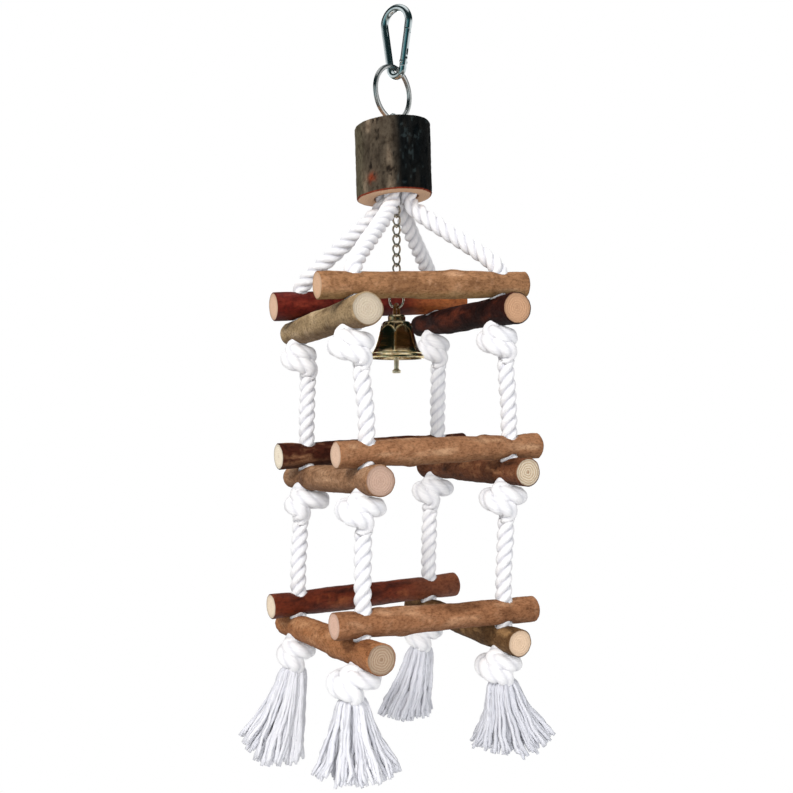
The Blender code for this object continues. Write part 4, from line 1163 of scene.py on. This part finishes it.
def make_hook():
    turn = Matrix.Rotation(HOOK_TURN, 4, "Z")
    slope = atan2(WIDE - NARROW, WIDE_Z - NARROW_Z)
    nose, tang = GATE_TIP_Z - 1.6 * MM, RIVET_Z + 1.6 * MM
    points = [(leg_x(nose), 0, nose)]
    for angle in np.linspace(-slope, pi + slope, 40):
        points.append((WIDE * cos(angle), 0, WIDE_Z + WIDE * sin(angle)))
    for angle in np.linspace(pi + slope, 2 * pi - slope, 32):
        points.append((NARROW * cos(angle), 0, NARROW_Z + NARROW * sin(angle)))
    points.append((leg_x(tang), 0, tang))
    hook = wire("hook_wire", points, HOOK_WIRE / 2, 32, ZINC, start=(0, 1, 0))
    big, thin = HOOK_WIRE, 0.65 * MM
    tools = []
    for side in (-1, 1):
        offset = side * (thin + big / 2)
        tools.append(leg_box(big, big / 2, nose - big, GATE_TIP_Z + 0.4 * MM, 0, offset))
        tools.append(leg_box(big, big / 2, RIVET_Z - 2.5 * MM, tang + big, 0, offset))
    cut_metal(hook, tools)
    hook.data.transform(turn)
    finish_piece(hook, "carabiner", "carabiner_hook")
    low = RIVET_Z - 1.5 * MM
    ends = [(leg_x(z), 0, z) for z in (low, low + 0.3 * MM, GATE_TIP_Z - 0.3 * MM, GATE_TIP_Z)]
    gate = wire("hook_gate", ends, GATE_RADIUS, 32, ZINC, start=(0, 1, 0))
    well = [(leg_x(z), 0, z) for z in (RIVET_Z + 1.0 * MM, RIVET_Z + 7.6 * MM)]
    tools = [
        leg_box(3 * MM, 0.85 * MM, low - big, RIVET_Z + 2.45 * MM),
        leg_box(3 * MM, 0.85 * MM, GATE_TIP_Z - 2.2 * MM, GATE_TIP_Z + big),
        leg_box(1.5 * MM, 0.6 * MM, RIVET_Z + 3.4 * MM, RIVET_Z + 6.6 * MM, 1.7 * MM),
        wire("tool", well, 0.85 * MM, 24, ZINC),
    ]
    cut_metal(gate, tools)
    gate.data.transform(turn)
    finish_piece(gate, "gate", "carabiner_gate")
    half = GATE_RADIUS + 0.12 * MM
    head = [(0, half + 0.5 * MM), (0.7 * MM, half + 0.42 * MM), (1.1 * MM, half + 0.15 * MM), (1.15 * MM, half)]
    head.append((0.6 * MM, half))
    profile = [(r, -z) for r, z in head] + head[::-1]
    place = turn @ Matrix.Translation((leg_x(RIVET_Z), 0, RIVET_Z)) @ Matrix.Rotation(pi / 2, 4, "X")
    rivet = turned("hook_rivet", profile, 24, NICKEL, place)
    finish_piece(rivet, "carabiner", "gate_rivet")
    t = np.linspace(0, 1, 160)
    z = RIVET_Z + 2.6 * MM + 4.6 * MM * t
    coil = t * 2 * pi * SPRING_TURNS
    points = np.stack([leg_x(z) + SPRING_RADIUS * np.cos(coil), SPRING_RADIUS * np.sin(coil), z], axis=1)
    spring = wire("hook_spring", points, 0.13 * MM, 8, NICKEL, place=turn)
    finish_piece(spring, "gate", "gate_spring")


def make_split_ring():
    """Two turns of flat wire side by side, with the jog where one passes to the other."""
    t = np.linspace(0, 4 * pi - 0.12, RING_STEPS)
    jog = smooth_step(2 * pi - 0.35, 2 * pi + 0.35, t)
    c, s = np.cos(full_turn(RING_SIDES)), np.sin(full_turn(RING_SIDES))
    section_out = np.abs(c) ** 0.6 * np.sign(c) * 1.1 * MM
    section_side = np.abs(s) ** 0.6 * np.sign(s) * 0.52 * MM
    around = t[:, None] + radians(-100)
    reach = RING_RADIUS + section_out
    sideways = ((-0.56 + 1.12 * jog) * MM)[:, None] + section_side
    cloud = np.stack([np.cos(around) * reach, sideways, np.sin(around) * reach], axis=2)
    ring = put("flat_wire_ring", cloud, tube_faces(RING_STEPS, RING_SIDES), [NICKEL])
    ring.data.set_sharp_from_angle(angle=radians(60))
    ring.data.transform(Matrix.Translation(RING_PLACE) @ Matrix.Rotation(RING_TURN, 4, "Z"))
    face_out(ring)
    finish_piece(ring, "ring", "split_ring")


def make_eye(name, node, radius, thickness, at, shank_end, turn):
    """A screw eye: a straight shank, and a loop that almost closes."""
    way = 1 if shank_end > at[2] else -1
    opening = radians(34)
    shank = (shank_end - at[2], way * (radius + thickness * 1.4), way * (radius + thickness * 0.9))
    points = [(0, 0, z) for z in shank]
    for angle in np.linspace(opening, 2 * pi - opening, 40):
        points.append((radius * sin(angle), 0, way * radius * cos(angle)))
    route = softened(resampled(np.array(points), 0.25 * MM), 6)
    place = Matrix.Translation(at) @ Matrix.Rotation(turn, 4, "Z")
    eye = wire(name, route, thickness / 2, 16, ZINC, start=(0, 1, 0), place=place)
    finish_piece(eye, "block", node)


# ---- chain, bell and clapper

LINK_TOP = -106.6 * MM
LINK_PITCH = 5.2 * MM
LINK_HALF_LENGTH, LINK_HALF_WIDTH, LINK_WIRE = 3.25 * MM, 1.95 * MM, 0.55 * MM
BELL_TOP = -161.4 * MM
BELL_RING_Z = -154.0 * MM
BELL_RING_RADIUS, BELL_RING_WIRE = 3.9 * MM, 0.6 * MM


def make_chain():
    t = full_turn(56)
    z = LINK_HALF_LENGTH * np.cos(t)
    width = LINK_HALF_WIDTH * np.sin(t)
    turn = pi / 2 * (-z / (2 * LINK_HALF_LENGTH))
    points = np.stack([width * np.cos(turn), width * np.sin(turn), z], axis=1)
    for number in range(1, 10):
        middle = (0, 0, LINK_TOP - (number - 1) * LINK_PITCH)
        link = wire(f"twist_link_{number}", points + middle, LINK_WIRE, 14, CHAIN, True, (0, 0, 1))
        finish_piece(link, f"link_{number}", f"chain_link_{number}")
    t = full_turn(64)
    points = BELL_RING_RADIUS * np.stack([np.cos(t), t * 0, np.sin(t)], axis=1)
    place = Matrix.Translation((0, 0, BELL_RING_Z)) @ Matrix.Rotation(radians(-45), 4, "Z")
    ring = wire("bell_wire_ring", points, BELL_RING_WIRE, 18, CHAIN, True, (0, 1, 0), place)
    finish_piece(ring, "bell_ring", "bell_ring")


# The bell's outline outside and inside, as radius and depth below its top, in mm.
OUTER = ((0.0, 0.0), (3.4, 0.1), (4.1, 0.45), (4.7, 1.4), (4.75, 3.5), (5.2, 3.75), (6.4, 3.8), (7.1, 4.2))
OUTER += ((7.8, 5.4), (9.4, 9.8), (10.5, 13.8), (11.8, 17.6), (12.8, 19.6), (13.7, 21.1), (14.6, 22.0))
OUTER += ((14.85, 22.6), (14.8, 23.3))
INNER = (
    (14.4, 23.5), (13.8, 23.2), (12.2, 20.6), (10.4, 17.9),
    (8.9, 14.0), (7.9, 10.4), (6.4, 5.9), (0.0, 5.4),
)
PANELS = 6
# Depths, in mm: where the panels start, where their arches' tops and their foot line are.
PANEL_TOP, ARCH_TOP, PANEL_FOOT = 4.6, 6.0, 20.3
BELL_SIDES = 216
LINE_WIDTH, LINE_HEIGHT = 0.5, 0.32
STAPLE_RADIUS, STAPLE_WIRE = 3.2 * MM, 0.9 * MM
CLAPPER_FOOT = -192.6 * MM


def even_profile(profile, step):
    return resampled(np.array([(r, 0, z) for r, z in profile], float), step)[:, [0, 2]]


def make_bell():
    """The bell's wall, with a raised arch round each of its panels, and a staple for its ring."""
    outer, inner = even_profile(OUTER, 0.22), even_profile(INNER, 0.6)
    angle = full_turn(BELL_SIDES)
    down, w = np.meshgrid(outer[:, 1], angle, indexing="ij")
    reach = np.repeat(outer[:, :1], BELL_SIDES, axis=1)
    part = (w + radians(0.5)) % (2 * pi / PANELS) - pi / PANELS
    half = np.maximum(0.1, pi / PANELS * reach - 0.3)
    high = np.clip((ARCH_TOP + half - down) / half, 0, 1)
    limit = half * np.sqrt(np.clip(1 - high**2, 0, 1))
    line_side = np.abs(np.abs(part * reach) - limit)
    line_foot = np.abs(down - PANEL_FOOT)
    line = np.where(down < PANEL_FOOT, np.minimum(line_side, line_foot), line_foot)
    on_wall = (down > PANEL_TOP) & (down < PANEL_FOOT + 0.6)
    raised = np.where(on_wall, np.exp(-((line / LINE_WIDTH) ** 2)), 0)
    inset = np.clip(np.cos(np.abs(part) * 0.55) - cos(pi / PANELS * 0.55), 0, 1) * 0.55
    flat = 1 - inset * smooth_step(PANEL_TOP, 6.5, down) * (1 - smooth_step(18.5, 20.5, down))
    radius = reach * flat + LINE_HEIGHT * raised
    cloud = np.stack([radius * np.cos(w), radius * np.sin(w), -down], axis=2)
    inside = revolved(inner * (1, -1), angle)
    both = np.concatenate([cloud, inside]) * MM + BELL_TOP * UP
    crown_or_rim = np.where(down < PANEL_TOP, 0.7, 0.0)
    dark = np.where((down > PANEL_TOP) & (down < PANEL_FOOT), 1 - raised, crown_or_rim)
    piece = put("brass_bell", both, grid_faces(len(both), BELL_SIDES), [BELL])
    paint_points(piece, "dark", np.r_[dark.ravel(), np.full(inside[..., 0].size, 0.6)], "FLOAT")
    face_out(piece, weld=True)
    middle = BELL_RING_Z - BELL_RING_RADIUS + BELL_RING_WIRE + 0.25 * MM + STAPLE_WIRE - STAPLE_RADIUS
    route = [(STAPLE_RADIUS * cos(a), 0, middle + STAPLE_RADIUS * sin(a)) for a in np.linspace(0, pi, 24)]
    foot = BELL_TOP - 0.6 * MM
    route = [(STAPLE_RADIUS, 0, foot), *route, (-STAPLE_RADIUS, 0, foot)]
    place = Matrix.Rotation(radians(45), 4, "Z")
    staple = wire("bell_staple", route, STAPLE_WIRE, 20, BELL_LOOP, start=(0, 1, 0), place=place)
    finish_piece(piece, "bell", "bell")
    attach(staple, "bell")


def make_clapper():
    """A rod with a small bob on its end, turned about its pivot in the bell's top."""
    pivot = BELL_TOP - 6.5 * MM
    low = (CLAPPER_FOOT - pivot) / MM
    profile = [(0, 1.5), (0.9, 1.3), (1.5, 0.6), (1.6, 0), (1.4, -1.6)]
    profile += [(1.3, low + 2.6), (1.4, low + 2.1), (2.0, low + 1.7), (2.3, low + 1.3)]
    profile += [(2.3, low + 0.5), (2.0, low + 0.05), (0, low)]
    clapper = turned("brass_clapper", [(r * MM, pivot + z * MM) for r, z in profile], 32, PALE_BRASS)
    clapper.data.set_sharp_from_angle(angle=radians(50))
    finish_piece(clapper, "clapper", "clapper")


make_ropes()
for index, tassel in enumerate(CORNERS):
    make_tassel(tassel, 11 + index)
for tier_number in TIERS:
    for side_name in STICK_ENDS:
        smooth = (tier_number, side_name) in ((1, "back"), (3, "back"))
        make_stick(tier_number, side_name, SMOOTH_BARK if smooth else BARK)
make_block()
make_hook()
make_split_ring()
# The top eye's middle is close to the block's swing, so the ring stays clear of it.
top_eye = (*RING_PLACE[:2], -57.95 * MM)
bottom_eye = (0, 0, -102.6 * MM)
make_eye("wire_eye_top", "top_screw_eye", 2.4 * MM, 1.3 * MM, top_eye, -72 * MM, RING_TURN + pi / 2)
make_eye("wire_eye_bottom", "bottom_screw_eye", 2.05 * MM, 1.1 * MM, bottom_eye, -74 * MM, radians(45))
make_chain()
make_bell()
make_clapper()
